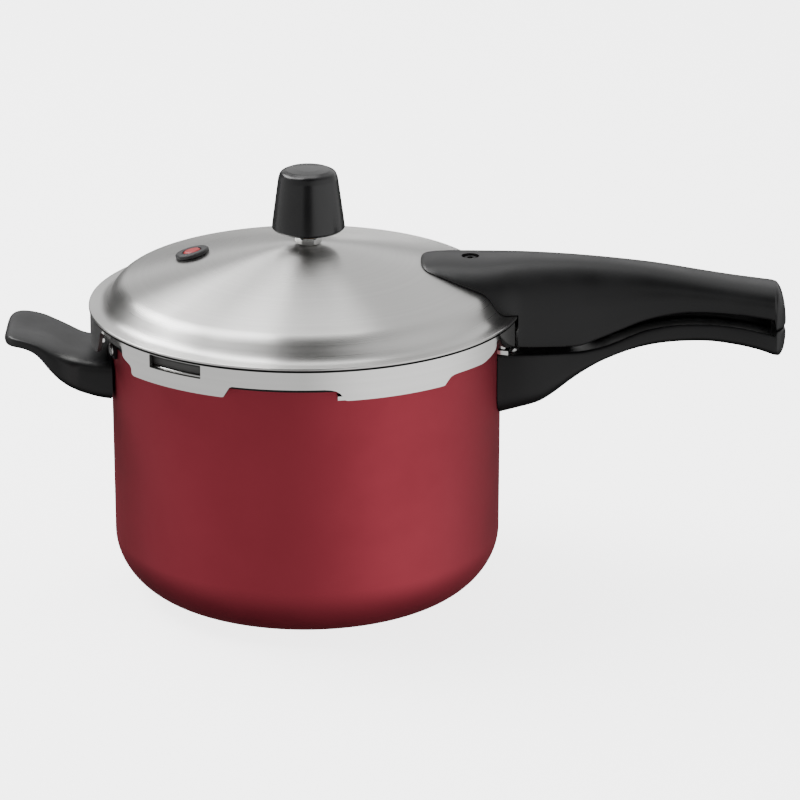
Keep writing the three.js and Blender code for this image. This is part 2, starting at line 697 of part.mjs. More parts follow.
function ventSeal() {
  const [low, high] = [-3.9, -LID_SHEET - GAP];
  return onVentPad(revolved([
    [VENT_PIPE_RADIUS + GAP, low],
    [7.2, low],
    [7.2, high],
    [VENT_PIPE_RADIUS + GAP, high],
    [VENT_PIPE_RADIUS + GAP, low],
  ], SMALL_SEGMENTS));
}

function ventNut() {
  return onVentPad(hexNut(14, VENT_PIPE_RADIUS + GAP, GAP, 3.9));
}

function ventStrainer() {
  const [radius, low, high, sheet] = [7.4, -15.6, -8.3, 0.8];
  const cup = solidFrom(revolved([
    [0, low],
    [radius - 1, low],
    [radius, low + 1],
    [radius, high],
    [radius - sheet, high],
    [radius - sheet, low + 1.2],
    [radius - 1.4, low + sheet],
    [0, low + sheet],
  ], 2 * SMALL_SEGMENTS));
  const slots = Array.from({ length: 6 }, (_, i) => solidFrom(
    block(0, radius + 1, -0.9, 0.9, low + 2, high - 1.5).rotateZ(radians(30 + i * 60))));
  return onVentPad(geometryFrom(cup.subtract(joined(slots))));
}

function regulatorWeight() {
  return revolved([
    [VENT_PIPE_RADIUS + GAP, WEIGHT_BOTTOM],
    [6.5, WEIGHT_BOTTOM],
    [6.5, 199.2],
    [12, 199.2],
    [11.2, 222.5],
    [0, 222.5],
    [0, 207],
    [2.6, 205.3],
    [VENT_PIPE_RADIUS + GAP, 201.3],
    [VENT_PIPE_RADIUS + GAP, WEIGHT_BOTTOM],
  ], 24).translate(VENT_X, 0, 0);
}

function weightCap() {
  return revolved([
    [6.9, CAP_BOTTOM],
    [CAP_BOTTOM_RADIUS - 0.8, CAP_BOTTOM],
    [CAP_BOTTOM_RADIUS, CAP_BOTTOM + 1],
    [CAP_TOP_RADIUS, CAP_TOP - 5.4],
    [CAP_TOP_RADIUS - 0.9, CAP_TOP - 2.5],
    [CAP_TOP_RADIUS - 3.4, CAP_TOP - 0.9],
    [CAP_TOP_RADIUS - 8.8, CAP_TOP - 0.2],
    [0, CAP_TOP],
    [0, 222.9],
    [11.6, 222.9],
    [12.4, 198.8],
    [6.9, 198.8],
    [6.9, CAP_BOTTOM],
  ], 28).translate(VENT_X, 0, 0);
}

// ---------------------------------------------------------------------------
// Safety valve
// ---------------------------------------------------------------------------

function valvePlace() {
  const angle = radians(VALVE_ANGLE);
  return [VALVE_RADIUS_FROM_AXIS * Math.cos(angle), VALVE_RADIUS_FROM_AXIS * Math.sin(angle)];
}

function safetyGrommet() {
  return revolved([
    [3.5, -4.3],
    [7.6, -4.3],
    [8.4, -3.4],
    [8.4, -LID_SHEET - GAP],
    [6.3, -LID_SHEET - GAP],
    [6.3, GAP],
    [GROMMET_RADIUS, GAP],
    [GROMMET_RADIUS, 1.5],
    [GROMMET_RADIUS - 0.8, 2.3],
    [5.2, 2.3],
    [4.9, 0.9],
    [3.5, 0.9],
    [3.5, -4.3],
  ], 20).applyMatrix4(onDome(...valvePlace()));
}

function pressurePin() {
  return revolved([
    [0, -11],
    [2, -11],
    [2, -9.2],
    [3.2, -9.2],
    [3.2, 1.2],
    [4.6, 1.2],
    [4.5, 2.3],
    [3.6, 2.8],
    [0, 2.8],
  ], SMALL_SEGMENTS).applyMatrix4(onDome(...valvePlace()));
}

function pinClip() {
  return revolved([
    [2.3, -10.6],
    [5.2, -10.6],
    [5.2, -9.5],
    [2.3, -9.5],
    [2.3, -10.6],
  ], SMALL_SEGMENTS).applyMatrix4(onDome(...valvePlace()));
}

// ---------------------------------------------------------------------------
// Assembly
// ---------------------------------------------------------------------------

const cooker = new THREE.Group();

function place(name, geometry, material) {
  const mesh = new THREE.Mesh(geometry, material);
  mesh.name = name;
  cooker.add(mesh);
}

place('pot_body', potBody(), redEnamel);
place('pot_handle_bracket', potHandleBracket(), brightSteel);
place('pot_handle', potHandle(), blackBakelite);
RIVET_HEIGHTS.forEach((height, i) => {
  place(`pot_handle_rivet_${i + 1}`, wallRivet(0, height, PLATE_OUTER_RADIUS), brightSteel);
});
place('pot_handle_screw', headedScrew(109.7, 131, POT_SCREW_X), brightSteel);
[['front', -ROOT_BOLT_Y], ['back', ROOT_BOLT_Y]].forEach(([side, y]) => {
  place(`root_bolt_${side}`, rootBolt().translate(ROOT_BOLT_X, y, 0), brightSteel);
  place(`root_nut_${side}`, hexNut(6.6, 1.5 + GAP, 135.1, 137).translate(ROOT_BOLT_X, y, 0), brightSteel);
});

place('helper_bracket', helperBracket(), blackenedSteel);
place('helper_handle', helperHandle(), blackBakelite);
[['front', HELPER_RIVET_ANGLE], ['back', -HELPER_RIVET_ANGLE]].forEach(([side, angle]) => {
  place(`helper_rivet_${side}`, wallRivet(180 + angle, HELPER_RIVET_HEIGHT, PLATE_OUTER_RADIUS), brightSteel);
});
place('helper_screw', headedScrew(114.2, 128.5, -HELPER_SCREW_X), brightSteel);

place('sealing_ring', sealingRing(), greySilicone);

place('lid_shell', lidShell(), satinAluminium);
place('lid_handle_bracket', lidHandleBracket(), brightSteel);
place('lid_rivet_front', lidRivet(...LID_RIVETS[0]), brightSteel);
place('lid_rivet_back', lidRivet(...LID_RIVETS[1]), brightSteel);
place('lid_handle', lidHandle(), blackBakelite);
place('lid_handle_screw_front', lidHandleScrewFront(), brightSteel);
place('lid_handle_screw_rear', lidHandleScrewRear(), brightSteel);
place('lid_handle_cover', lidHandleCover(), blackBakelite);

place('vent_pipe', ventPipe(), brass);
place('vent_seal', ventSeal(), blackSilicone);
place('vent_nut', ventNut(), brightSteel);
place('vent_strainer', ventStrainer(), brightSteel);

place('regulator_weight', regulatorWeight(), brightSteel);
place('weight_cap', weightCap(), blackBakelite);

place('safety_grommet', safetyGrommet(), blackSilicone);
place('pressure_pin', pressurePin(), redSilicone);
place('pin_clip', pinClip(), brightSteel);

export default cooker;
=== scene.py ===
"""Looks of the stovetop pressure cooker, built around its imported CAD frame.

Outlines are written in millimetres in the CAD frame: +Z up, +X towards the long handles,
origin at the centre of the pot's flat underside. Meshes are made in metres.
"""

import math

import bmesh
import bpy
from mathutils import Matrix, Vector


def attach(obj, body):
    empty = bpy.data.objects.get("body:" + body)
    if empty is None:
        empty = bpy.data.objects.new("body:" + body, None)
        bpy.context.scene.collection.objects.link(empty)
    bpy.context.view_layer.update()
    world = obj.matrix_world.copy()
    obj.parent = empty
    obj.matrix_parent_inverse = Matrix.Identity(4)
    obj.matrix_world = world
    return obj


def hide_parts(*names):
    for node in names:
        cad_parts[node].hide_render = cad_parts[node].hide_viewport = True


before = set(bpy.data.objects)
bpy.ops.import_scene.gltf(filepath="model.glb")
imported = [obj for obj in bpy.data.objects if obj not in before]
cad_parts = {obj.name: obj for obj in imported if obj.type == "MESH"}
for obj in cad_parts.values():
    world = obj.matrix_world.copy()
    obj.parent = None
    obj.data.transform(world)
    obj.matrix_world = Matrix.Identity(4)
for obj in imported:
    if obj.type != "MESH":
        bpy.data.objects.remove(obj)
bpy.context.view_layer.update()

MM = 0.001

# ---- Driving dimensions, in millimetres ----

POT_RADIUS = 103.0
POT_FLARE = 0.5
CORNER_SIZE = 31.6
CORNER_POWER = 1.87
POT_WALL = 3.0
POT_BASE = 4.0
RED_TOP = 141.0
BAND_TOP = 145.9
RIM_TOP = 148.6
RIM_FLANGE_RADIUS = 106.3
POT_LUG_RADIUS = 111.3
POT_LUG_HALF_ANGLE = 13.9
FIRST_LUG_ANGLE = -125.5
LUG_PITCH = 60.0
LUG_COUNT = 6

LID_SHEET = 2.0
DOME_TOP = 190.0
DOME_RADIUS = 94.0
DOME_DROP = 19.4
DOME_POWER = 1.42
VENT_PAD_RADIUS = 10.0
SHOULDER_START = 95.0
SHOULDER_REACH = (0.60, 0.52)
FLANGE_START = 111.0
FLANGE_TOP = 157.6
FLANGE_RADIUS = 114.9
SKIRT_RADIUS = 114.3
SKIRT_TOP = 155.08
LID_LUG_BOTTOM = 139.5
LID_LUG_HALF_ANGLE = 15.2
LID_LIP_HALF_ANGLE = 14.6
LID_LIP_INNER_RADIUS = 107.2

VENT_X = 1.6
VALVE_RADIUS_FROM_AXIS = 61.0
VALVE_ANGLE = 170.0
ROOT_BOLT = (109.5, 16.5)
POT_SCREW_X = 122.0
HELPER_SCREW_X = -119.0
LID_SCREW_FRONT_X = 87.0
LID_SCREW_REAR_X = 156.0
LID_RIVET_X = 79.5
LID_RIVET_Y = 7.5
HELPER_RIVET_ANGLE = 16.2
HELPER_RIVET_HEIGHT = 139.8
RIVET_HEIGHTS = (112.0, 137.0)
PLATE_OUTER_RADIUS = 105.4
THREAD_PITCH = 0.7

# Segments round a full turn for the large round pieces
ROUND = 256


# ---- Mesh helpers ----

def shade(bm, sharp_angle):
    """Smooth shading, except across edges bent by more than sharp_angle degrees."""
    limit = math.radians(sharp_angle)
    for edge in bm.edges:
        edge.smooth = not (len(edge.link_faces) == 2 and edge.calc_face_angle(0.0) > limit)
    for face in bm.faces:
        face.smooth = True


def finish_mesh(name, bm, materials, sharp_angle=32.0):
    """Turns a bmesh in millimetres into an object in metres, smooth except at sharp edges."""
    bmesh.ops.scale(bm, vec=(MM, MM, MM), verts=bm.verts)
    bmesh.ops.recalc_face_normals(bm, faces=bm.faces)
    shade(bm, sharp_angle)
    mesh = bpy.data.meshes.new(name)
    bm.to_mesh(mesh)
    bm.free()
    for material in materials:
        mesh.materials.append(material)
    obj = bpy.data.objects.new(name, mesh)
    bpy.context.scene.collection.objects.link(obj)
    return obj


def rounded(corners, steps=6):
    """Polyline through (radius, height, fillet) corners, with each fillet as an arc."""
    points = []
    last = len(corners) - 1
    for i, (x, y, fillet) in enumerate(corners):
        here = Vector((x, y))
        if fillet <= 0 or i in (0, last):
            points.append((x, y))
            continue
        before = Vector(corners[i - 1][:2]) - here
        after = Vector(corners[i + 1][:2]) - here
        turn = before.angle(after)
        if turn > math.radians(178):
            points.append((x, y))
            continue
        reach = min(fillet / math.tan(turn / 2), before.length * 0.49, after.length * 0.49)
        start, end = here + before.normalized() * reach, here + after.normalized() * reach
        for step in range(steps + 1):
            t = step / steps
            point = start * (1 - t) ** 2 + here * 2 * t * (1 - t) + end * t ** 2
            points.append((point.x, point.y))
    return points


def revolve(outline, segments=192, start=0.0, sweep=360.0, paint=None):
    """bmesh of a closed solid of revolution about Z, or of a sector of one with end caps.

    paint(radius, height, index) gives each face's material number.
    """
    bm = bmesh.new()
    full = sweep >= 360.0
    count = segments if full else segments + 1
    rings = []
    for radius, height in outline:
        if radius < 1e-6:
            rings.append([bm.verts.new((0, 0, height))])
            continue
        ring = []
        for i in range(count):
            angle = math.radians(start + sweep * i / segments)
            ring.append(bm.verts.new((radius * math.cos(angle), radius * math.sin(angle), height)))
        rings.append(ring)
    closed = outline[0][0] > 1e-6
    pairs = list(zip(rings, rings[1:]))
    if closed:
        pairs.append((rings[-1], rings[0]))
    for index, (low, high) in enumerate(pairs):
        for i in range(segments):
            j = (i + 1) % count if full else i + 1
            corners = [low[i % len(low)], low[j % len(low)], high[j % len(high)], high[i % len(high)]]
            face_corners = list(dict.fromkeys(corners))
            if len(face_corners) < 3:
                continue
            face = bm.faces.new(face_corners)
            if paint:
                middle = face.calc_center_median()
                face.material_index = paint(math.hypot(middle.x, middle.y), middle.z, index)
    if not full:
        bm.faces.new([ring[0] for ring in rings])
        bm.faces.new([ring[-1] for ring in reversed(rings)])
    return bm


def lathe(name, outline, materials, segments=192, place=None, paint=None, sharp_angle=32.0):
    bm = revolve(outline, segments, paint=paint)
    if place is not None:
        bmesh.ops.transform(bm, matrix=place, verts=bm.verts)
    return finish_mesh(name, bm, materials, sharp_angle)


def smooth_through(pairs):
    """Smooth curve through (position, value) pairs, read by position."""
    def slope(i):
        before, after = pairs[max(i - 1, 0)], pairs[min(i + 1, len(pairs) - 1)]
        return (after[1] - before[1]) / (after[0] - before[0])

    def value(position):
        i = 0
        while i < len(pairs) - 2 and position > pairs[i + 1][0]:
            i += 1
        span = pairs[i + 1][0] - pairs[i][0]
        t = min(max((position - pairs[i][0]) / span, 0.0), 1.0)
        return (pairs[i][1] * (2 * t ** 3 - 3 * t ** 2 + 1)
                + slope(i) * span * (t ** 3 - 2 * t ** 2 + t)
                + pairs[i + 1][1] * (3 * t ** 2 - 2 * t ** 3)
                + slope(i + 1) * span * (t ** 3 - t ** 2))
    return value


def loft(sections):
    """bmesh of a closed body through rings of 3-D points, each ring closed, ends capped."""
    bm = bmesh.new()
    rings = [[bm.verts.new(point) for point in ring] for ring in sections]
    size = len(rings[0])
    for low, high in zip(rings, rings[1:]):
        for i in range(size):
            j = (i + 1) % size
            bm.faces.new((low[i], low[j], high[j], high[i]))
    for ring in (rings[0], rings[-1]):
        centre = bm.verts.new(sum((v.co for v in ring), Vector()) / size)
        for i in range(size):
            bm.faces.new((ring[i], ring[(i + 1) % size], centre))
    bmesh.ops.recalc_face_normals(bm, faces=bm.faces)
    return bm


def stations(start, end, count, extra):
    """Stations between two ends, closer together at the ends, plus extra ones."""
    crowding = 0.35
    places = set(extra)
    for i in range(count + 1):
        crowded = 0.5 - 0.5 * math.cos(math.pi * i / count)
        share = crowding * crowded + (1 - crowding) * i / count
        places.add(round(start + (end - start) * share, 4))
    return sorted(places)


def cut(obj, bm_tool, operation="DIFFERENCE"):
    """Boolean of an object with a bmesh in millimetres, applied to the mesh."""
    tool = finish_mesh("cutter", bm_tool, [])
    modifier = obj.modifiers.new("cut", "BOOLEAN")
    modifier.object = tool
    modifier.operation = operation
    modifier.solver = "EXACT"
    depsgraph = bpy.context.evaluated_depsgraph_get()
    result = bpy.data.meshes.new_from_object(obj.evaluated_get(depsgraph))
    obj.modifiers.clear()
    obj.data = result
    bpy.data.objects.remove(tool)


def resharpen(obj, sharp_angle=32.0):
    """Merges the doubled points that a boolean leaves, and shades the mesh again."""
    bm = bmesh.new()
    bm.from_mesh(obj.data)
    bmesh.ops.remove_doubles(bm, verts=bm.verts, dist=1e-6)
    shade(bm, sharp_angle)
    bm.to_mesh(obj.data)
    bm.free()


def cylinder_tool(radius, bottom, top, x=0.0, segments=48):
    bm = revolve([(0, bottom), (radius, bottom), (radius, top), (0, top)], segments)
    bmesh.ops.translate(bm, vec=(x, 0, 0), verts=bm.verts)
    return bm


def plate_tool(bottom, start, sweep):
    """Sector that a handle's bracket plate needs, with clearance, up to the pot's rim band."""
    inside, outside, top = 100, PLATE_OUTER_RADIUS + 0.3, 146
    return revolve([(inside, bottom), (outside, bottom), (outside, top), (inside, top)], 24, start, sweep)


def put(obj, body, slot, *nodes):
    """The piece rides on a body and stands for the CAD nodes, which it hides; the slot is not used."""
    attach(obj, body)
    if nodes:
        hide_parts(*nodes)


# ---- Materials ----

def math_node(tree, operation, a, b):
    """Math node in a node tree; each operand is a number or an output socket."""
    node = tree.nodes.new("ShaderNodeMath")
    node.operation = operation
    for socket, value in zip(node.inputs, (a, b)):
        if isinstance(value, (int, float)):
            socket.default_value = value
        else:
            tree.links.new(value, socket)
    return node.outputs[0]


class Shader:
    """Small helper for building a node material around one Principled shader."""

    def __init__(self, name, **values):
        self.material = bpy.data.materials.new(name)
        self.material.use_nodes = True
        self.tree = self.material.node_tree
        self.principled = self.tree.nodes["Principled BSDF"]
        for socket, value in values.items():
            self.principled.inputs[socket.replace("_", " ")].default_value = value
        self.coordinates = self.add("ShaderNodeTexCoord").outputs["Object"]

    def add(self, kind, **settings):
        node = self.tree.nodes.new(kind)
        for key, value in settings.items():
            setattr(node, key, value)
        return node

    def link(self, output, target):
        self.tree.links.new(output, target)

    def noise(self, scale, detail, stretch=None):
        vector = self.coordinates
        if stretch is not None:
            mapping = self.add("ShaderNodeMapping")
            mapping.inputs["Scale"].default_value = stretch
            self.link(vector, mapping.inputs["Vector"])
            vector = mapping.outputs["Vector"]
        node = self.add("ShaderNodeTexNoise")
        node.inputs["Scale"].default_value = scale
        node.inputs["Detail"].default_value = detail
        node.inputs["Roughness"].default_value = 0.55
        self.link(vector, node.inputs["Vector"])
        return node.outputs["Fac"]

    def rings(self, scale, detail):
        """Noise that only varies with the distance from the Z axis and with height: turning marks."""
        height_share = 0.6
        separate = self.add("ShaderNodeSeparateXYZ")
        self.link(self.coordinates, separate.inputs[0])
        flat = self.add("ShaderNodeCombineXYZ")
        self.link(separate.outputs["X"], flat.inputs["X"])
        self.link(separate.outputs["Y"], flat.inputs["Y"])
        length = self.add("ShaderNodeVectorMath", operation="LENGTH")
        self.link(flat.outputs[0], length.inputs[0])
        lifted = self.math("MULTIPLY", separate.outputs["Z"], height_share)
        total = self.math("ADD", length.outputs["Value"], lifted)
        node = self.add("ShaderNodeTexNoise", noise_dimensions="1D")
        node.inputs["Scale"].default_value = scale
        node.inputs["Detail"].default_value = detail
        self.link(total, node.inputs["W"])
        return node.outputs["Fac"]

    def math(self, operation, a, b):
        return math_node(self.tree, operation, a, b)

    def mix(self, first, second, share):
        """The given share of the first value and the rest of the second."""
        rest = self.math("MULTIPLY", second, 1 - share)
        return self.math("ADD", self.math("MULTIPLY", first, share), rest)

    def spread(self, factor, low, high):
        """Maps the middle of a noise's range onto low to high."""
        node = self.add("ShaderNodeMapRange")
        node.inputs["From Min"].default_value = 0.35
        node.inputs["From Max"].default_value = 0.65
        node.inputs["To Min"].default_value = low
        node.inputs["To Max"].default_value = high
        self.link(factor, node.inputs["Value"])
        return node.outputs["Result"]

    def colours(self, factor, low, high, places=(0.3, 0.7)):
        """Fades from one colour to another between two places of a factor."""
        node = self.add("ShaderNodeValToRGB")
        for element, place, colour in zip(node.color_ramp.elements, places, (low, high)):
            element.position = place
            element.color = (*colour, 1.0)
        self.link(factor, node.inputs["Fac"])
        return node.outputs["Color"]

    def bump(self, height, distance, strength=1.0, under=None):
        node = self.add("ShaderNodeBump")
        node.inputs["Distance"].default_value = distance
        node.inputs["Strength"].default_value = strength
        self.link(height, node.inputs["Height"])
        if under is not None:
            self.link(under, node.inputs["Normal"])
        return node.outputs["Normal"]

    def set(self, socket, output):
        self.link(output, self.principled.inputs[socket])


def spun_aluminium(name, colour, roughness, anisotropy, ring_depth=4e-6):
    """Satin metal brushed in circles round the Z axis."""
    s = Shader(name, Metallic=1.0, Roughness=roughness, Anisotropic=anisotropy, Anisotropic_Rotation=0.25)
    fine = s.rings(9000.0, 2.0)
    broad = s.rings(420.0, 3.0)
    cloud = s.noise(14.0, 3.0)
    darker = tuple(c * 0.93 for c in colour)
    s.set("Base Color", s.colours(s.mix(broad, cloud, 0.6), darker, colour))
    s.set("Roughness", s.spread(s.mix(fine, cloud, 0.5), roughness * 0.86, roughness * 1.14))
    tangent = s.add("ShaderNodeTangent", direction_type="RADIAL", axis="Z")
    s.set("Tangent", tangent.outputs["Tangent"])
    s.set("Normal", s.bump(fine, ring_depth, 0.5))
    return s.material


def red_coating():
    """Satin metallic red lacquer: faint orange peel and slight tone drift."""
    s = Shader("red_coating", Roughness=0.5, Metallic=0.75)
    s.principled.inputs["Specular IOR Level"].default_value = 0.15
    drift = s.noise(9.0, 3.0)
    s.set("Base Color", s.colours(drift, (0.320, 0.039, 0.057), (0.346, 0.044, 0.063)))
    peel = s.noise(900.0, 3.0)
    s.set("Roughness", s.spread(s.noise(30.0, 5.0), 0.46, 0.54))
    s.set("Normal", s.bump(peel, 6e-6, 0.35))
    return s.material


def bakelite(name, smoothest, roughest, specular):
    """Black moulded plastic with a very fine grain."""
    s = Shader(name, Roughness=roughest)
    s.principled.inputs["Specular IOR Level"].default_value = specular
    cloud = s.noise(35.0, 5.0)
    s.set("Base Color", s.colours(cloud, (0.009, 0.009, 0.0095), (0.012, 0.012, 0.0125)))
    s.set("Roughness", s.spread(cloud, smoothest, roughest))
    grain = s.noise(2600.0, 2.0)
    s.set("Normal", s.bump(grain, 5e-6, 0.5, s.bump(s.noise(120.0, 2.0), 1.2e-5, 0.25)))
    return s.material


def rubber(name, dark, light, roughness):
    """Moulded silicone, matt and slightly uneven."""
    s = Shader(name, Roughness=roughness)
    cloud = s.noise(60.0, 4.0)
    s.set("Base Color", s.colours(cloud, dark, light))
    s.set("Roughness", s.spread(cloud, roughness * 0.9, roughness * 1.1))
    s.set("Normal", s.bump(s.noise(1800.0, 2.0), 6e-6, 0.5))
    return s.material


def plain_metal(name, colour, roughness):
    """Rolled or turned small metal parts, with a fine directional grain."""
    s = Shader(name, Metallic=1.0, Roughness=roughness)
    lines = s.noise(700.0, 3.0, stretch=(1.0, 1.0, 14.0))
    cloud = s.noise(80.0, 4.0)
    darker = tuple(c * 0.82 for c in colour)
    s.set("Base Color", s.colours(cloud, darker, colour, (0.3, 0.65)))
    s.set("Roughness", s.spread(lines, roughness * 0.75, roughness * 1.25))
    s.set("Normal", s.bump(lines, 5e-6, 0.5))
    return s.material


def floor_material():
    """Pale floor that glows enough to stay almost white."""
    s = Shader("pale_floor", Roughness=0.9, Emission_Strength=3.6)
    s.principled.inputs["Emission Color"].default_value = (1, 1, 1, 1)
    s.set("Base Color", s.colours(s.noise(2.0, 2.0), (0.80, 0.80, 0.80), (0.82, 0.82, 0.82)))
    return s.material


LID_METAL = spun_aluminium("spun_aluminium", (0.66, 0.655, 0.64), 0.31, 0.93)
POLISHED = spun_aluminium("polished_aluminium", (0.76, 0.755, 0.74), 0.08, 0.2, 1.0e-6)
INSIDE_METAL = spun_aluminium("inside_aluminium", (0.72, 0.715, 0.70), 0.34, 0.6)
# Near-black metal: painted shade for the crease under the lid's flange and for the pot's band under the
# skirt.
PAINTED_SHADE_METAL = plain_metal("painted_shade_dark", (0.03, 0.03, 0.03), 0.5)
RED = red_coating()
BLACK = bakelite("black_bakelite", 0.34, 0.44, 0.32)
GLOSS_BLACK = bakelite("glossy_bakelite", 0.22, 0.27, 0.42)
# Dark metal for the skirt's cut edges: a painted shade line along them.
SHADED_CUT_EDGE = plain_metal("shaded_cut_edge", (0.16, 0.16, 0.155), 0.55)
STEEL = plain_metal("bright_steel", (0.66, 0.66, 0.65), 0.24)
BRACKET_STEEL = plain_metal("bracket_steel", (0.34, 0.34, 0.335), 0.34)
# Near-black steel: painted shade on the helper bracket under the lid and on the recessed front lid screw.
SHADE_BLACK_STEEL = plain_metal("blackened_steel", (0.018, 0.018, 0.019), 0.45)
BRASS = plain_metal("brass", (0.62, 0.44, 0.20), 0.27)
BLACK_RUBBER = rubber("black_silicone", (0.016, 0.016, 0.017), (0.024, 0.024, 0.025), 0.5)
# Grey silicone darkened to near black: painted shade for the sealing ring seen through the skirt's window.
SHADE_DARKENED_GREY_RUBBER = rubber("grey_silicone", (0.075, 0.074, 0.072), (0.100, 0.099, 0.096), 0.5)
RED_RUBBER = rubber("red_silicone", (0.34, 0.012, 0.018), (0.42, 0.018, 0.024), 0.42)


# ---- Lid surface ----

def dome_height(radius):
    return DOME_TOP - DOME_DROP * (radius / DOME_RADIUS) ** DOME_POWER


def dome_slope(radius):
    return math.atan(DOME_DROP * DOME_POWER / DOME_RADIUS * (radius / DOME_RADIUS) ** (DOME_POWER - 1))


def lid_top_points(drop, dome_steps=40, shoulder_steps=28):
    """Outer surface of the lid from its axis to the flat flange, moved down by drop."""
    points = [(0.0, dome_height(VENT_PAD_RADIUS) - drop)]
    for i in range(dome_steps + 1):
        radius = VENT_PAD_RADIUS + (SHOULDER_START - VENT_PAD_RADIUS) * i / dome_steps
        points.append((radius, dome_height(radius) - drop))
    width = FLANGE_START - SHOULDER_START
    slope = dome_slope(SHOULDER_START)
    start = Vector((SHOULDER_START, dome_height(SHOULDER_START)))
    leave = Vector((math.cos(slope), -math.sin(slope))) * width * SHOULDER_REACH[0]
    bends = [start, start + leave, Vector((FLANGE_START - width * SHOULDER_REACH[1], FLANGE_TOP)),
             Vector((FLANGE_START, FLANGE_TOP))]
    for i in range(1, shoulder_steps + 1):
        t = i / shoulder_steps
        p = (bends[0] * (1 - t) ** 3 + bends[1] * 3 * t * (1 - t) ** 2
             + bends[2] * 3 * t * t * (1 - t) + bends[3] * t ** 3)
        points.append((p.x, p.y - drop))
    return points


def on_dome(x, y):
    """Matrix in millimetres that stands a piece's Z axis on the dome at (x, y)."""
    radius = math.hypot(x, y)
    turn = Matrix.Rotation(math.atan2(y, x), 4, "Z")
    tilt = Matrix.Rotation(dome_slope(radius), 4, "Y")
    return Matrix.Translation((x, y, dome_height(radius))) @ turn @ tilt


def lid_keep_out():
    """Everything below the lid's outer surface and a small gap above it."""
    gap = 0.3
    outline = [(0, 120), (SKIRT_RADIUS + 1, 120), (SKIRT_RADIUS + 1, FLANGE_TOP + gap)]
    return revolve(outline + lid_top_points(-gap)[::-1], ROUND)


def lug_angles():
    """Azimuths of the lugs' middles in degrees, alike on pot and lid when the lid is locked."""
    return [FIRST_LUG_ANGLE + LUG_PITCH * i for i in range(LUG_COUNT)]


# ---- Pot ----

def corner_points(flat, centre, across, down, steps):
    """Rounded bottom corner as a quarter of a superellipse."""
    power = 2 / CORNER_POWER
    points = []
    for i in range(steps + 1):
        angle = -math.pi / 2 + math.pi / 2 * i / steps
        points.append((flat + across * abs(math.cos(angle)) ** power,
                       centre - down * abs(math.sin(angle)) ** power))
    return points


def pot_body():
    flat = POT_RADIUS - CORNER_SIZE
    flare = POT_RADIUS + POT_FLARE
    outside = corner_points(flat, CORNER_SIZE, CORNER_SIZE, CORNER_SIZE, 40)
    inside = corner_points(flat, CORNER_SIZE, CORNER_SIZE - POT_WALL, CORNER_SIZE - POT_BASE, 30)
    rim = rounded([
        (POT_RADIUS + 0.3, 100, 0),
        (flare, 139.0, 2),
        (flare, RED_TOP, 0),
        (flare, 143.6, 1.5),
        (RIM_FLANGE_RADIUS, 145.8, 0.5),
        (RIM_FLANGE_RADIUS, RIM_TOP, 0.7),
        (flare - POT_WALL, RIM_TOP, 1.0),
        (flare - POT_WALL, 140, 2),
        (POT_RADIUS - POT_WALL, 100, 0),
    ])
    base = [(0, 0.35), (18, 0.35), (18.6, 0), (66, 0), (66.5, 0.3), (67.5, 0.3), (68, 0)]
    outline = [*base, *outside, *rim, *inside[::-1], (0, POT_BASE)]
    outer_end = len(base) + len(outside) + sum(1 for radius, _ in rim if radius > POT_RADIUS - 0.5)

    def paint(radius, height, index):
        if index < len(base) + 2:
            return 1
        if index < outer_end:
            # Material 3 on the bare metal band from RED_TOP to BAND_TOP is the near-black painted shade
            # under the skirt.
            return 0 if height < RED_TOP else 3 if height < BAND_TOP else 1
        return 2

    pot = lathe("pot_shell", outline, [RED, POLISHED, INSIDE_METAL, PAINTED_SHADE_METAL], ROUND, paint=paint)
    put(pot, "pot", "red_coated_aluminium", "pot_body")
    lug_section = rounded([
        (flare - 0.8, BAND_TOP, 0),
        (POT_LUG_RADIUS - 2.4, BAND_TOP, 0.4),
        (POT_LUG_RADIUS - 2.4, 142.2, 0.7),
        (POT_LUG_RADIUS, 142.2, 0.9),
        (POT_LUG_RADIUS, RIM_TOP - 0.02, 1.6),
        (flare - 0.8, RIM_TOP - 0.02, 0),
    ], 4)
    for i, angle in enumerate(lug_angles()):
        bm = revolve(lug_section, 28, angle - POT_LUG_HALF_ANGLE, 2 * POT_LUG_HALF_ANGLE)
        lug = finish_mesh(f"pot_lug_{i + 1}", bm, [POLISHED])
        put(lug, "pot", "red_coated_aluminium", "pot_body")


# ---- Handles ----

# (distance from the pot's axis along the handle, height or half-width) along each handle
LID_CREST = smooth_through([
    (60.7, 179.6), (61.6, 180.6), (64, 181.5), (72, 182.2), (94, 182.1), (113, 182.6), (124, 182.4),
    (132, 182.1), (145, 181.4), (166, 179.5), (187, 176.8), (208, 173.1), (219, 171.2), (230, 169.5),
    (247, 167.1), (249.4, 166.7), (250.3, 165.9), (252.0, 163.0), (253.1, 159.0), (253.9, 154.5),
    (254.3, 150.5), (254.4, 149.5),
])
LID_UNDER = smooth_through([
    (60.7, 176), (64, 172), (75, 163), (90, 152), (105, 142), (112, 139.8), (136, 138.6), (145, 138.9),
    (152.5, 141.4), (164.5, 145.9), (177.6, 150.9), (191, 154.1), (204, 155.4), (218, 155.0),
    (231, 153.6), (247.4, 151.2),
])
LID_WIDTH = smooth_through([
    (60.7, 6), (61.0, 10), (62.2, 14.6), (65, 18.6), (72, 22.3), (82, 26.7), (93, 29.6), (103, 29.6),
    (114, 27.2), (140, 23), (160, 20), (180, 18), (200, 17), (225, 16.6), (240, 17.1), (248.7, 17.3),
    (249.6, 16.3), (251.5, 13.4), (253.3, 9.0), (254.1, 5.2), (254.4, 3),
])
POT_TOP = smooth_through([
    (100, 134.5), (136, 134.6), (147, 135.1), (158, 137.4), (165, 140), (178, 145.3), (191, 147.9),
    (204, 148.8), (218, 148.3), (231, 146.6), (247.6, 142.7),
])
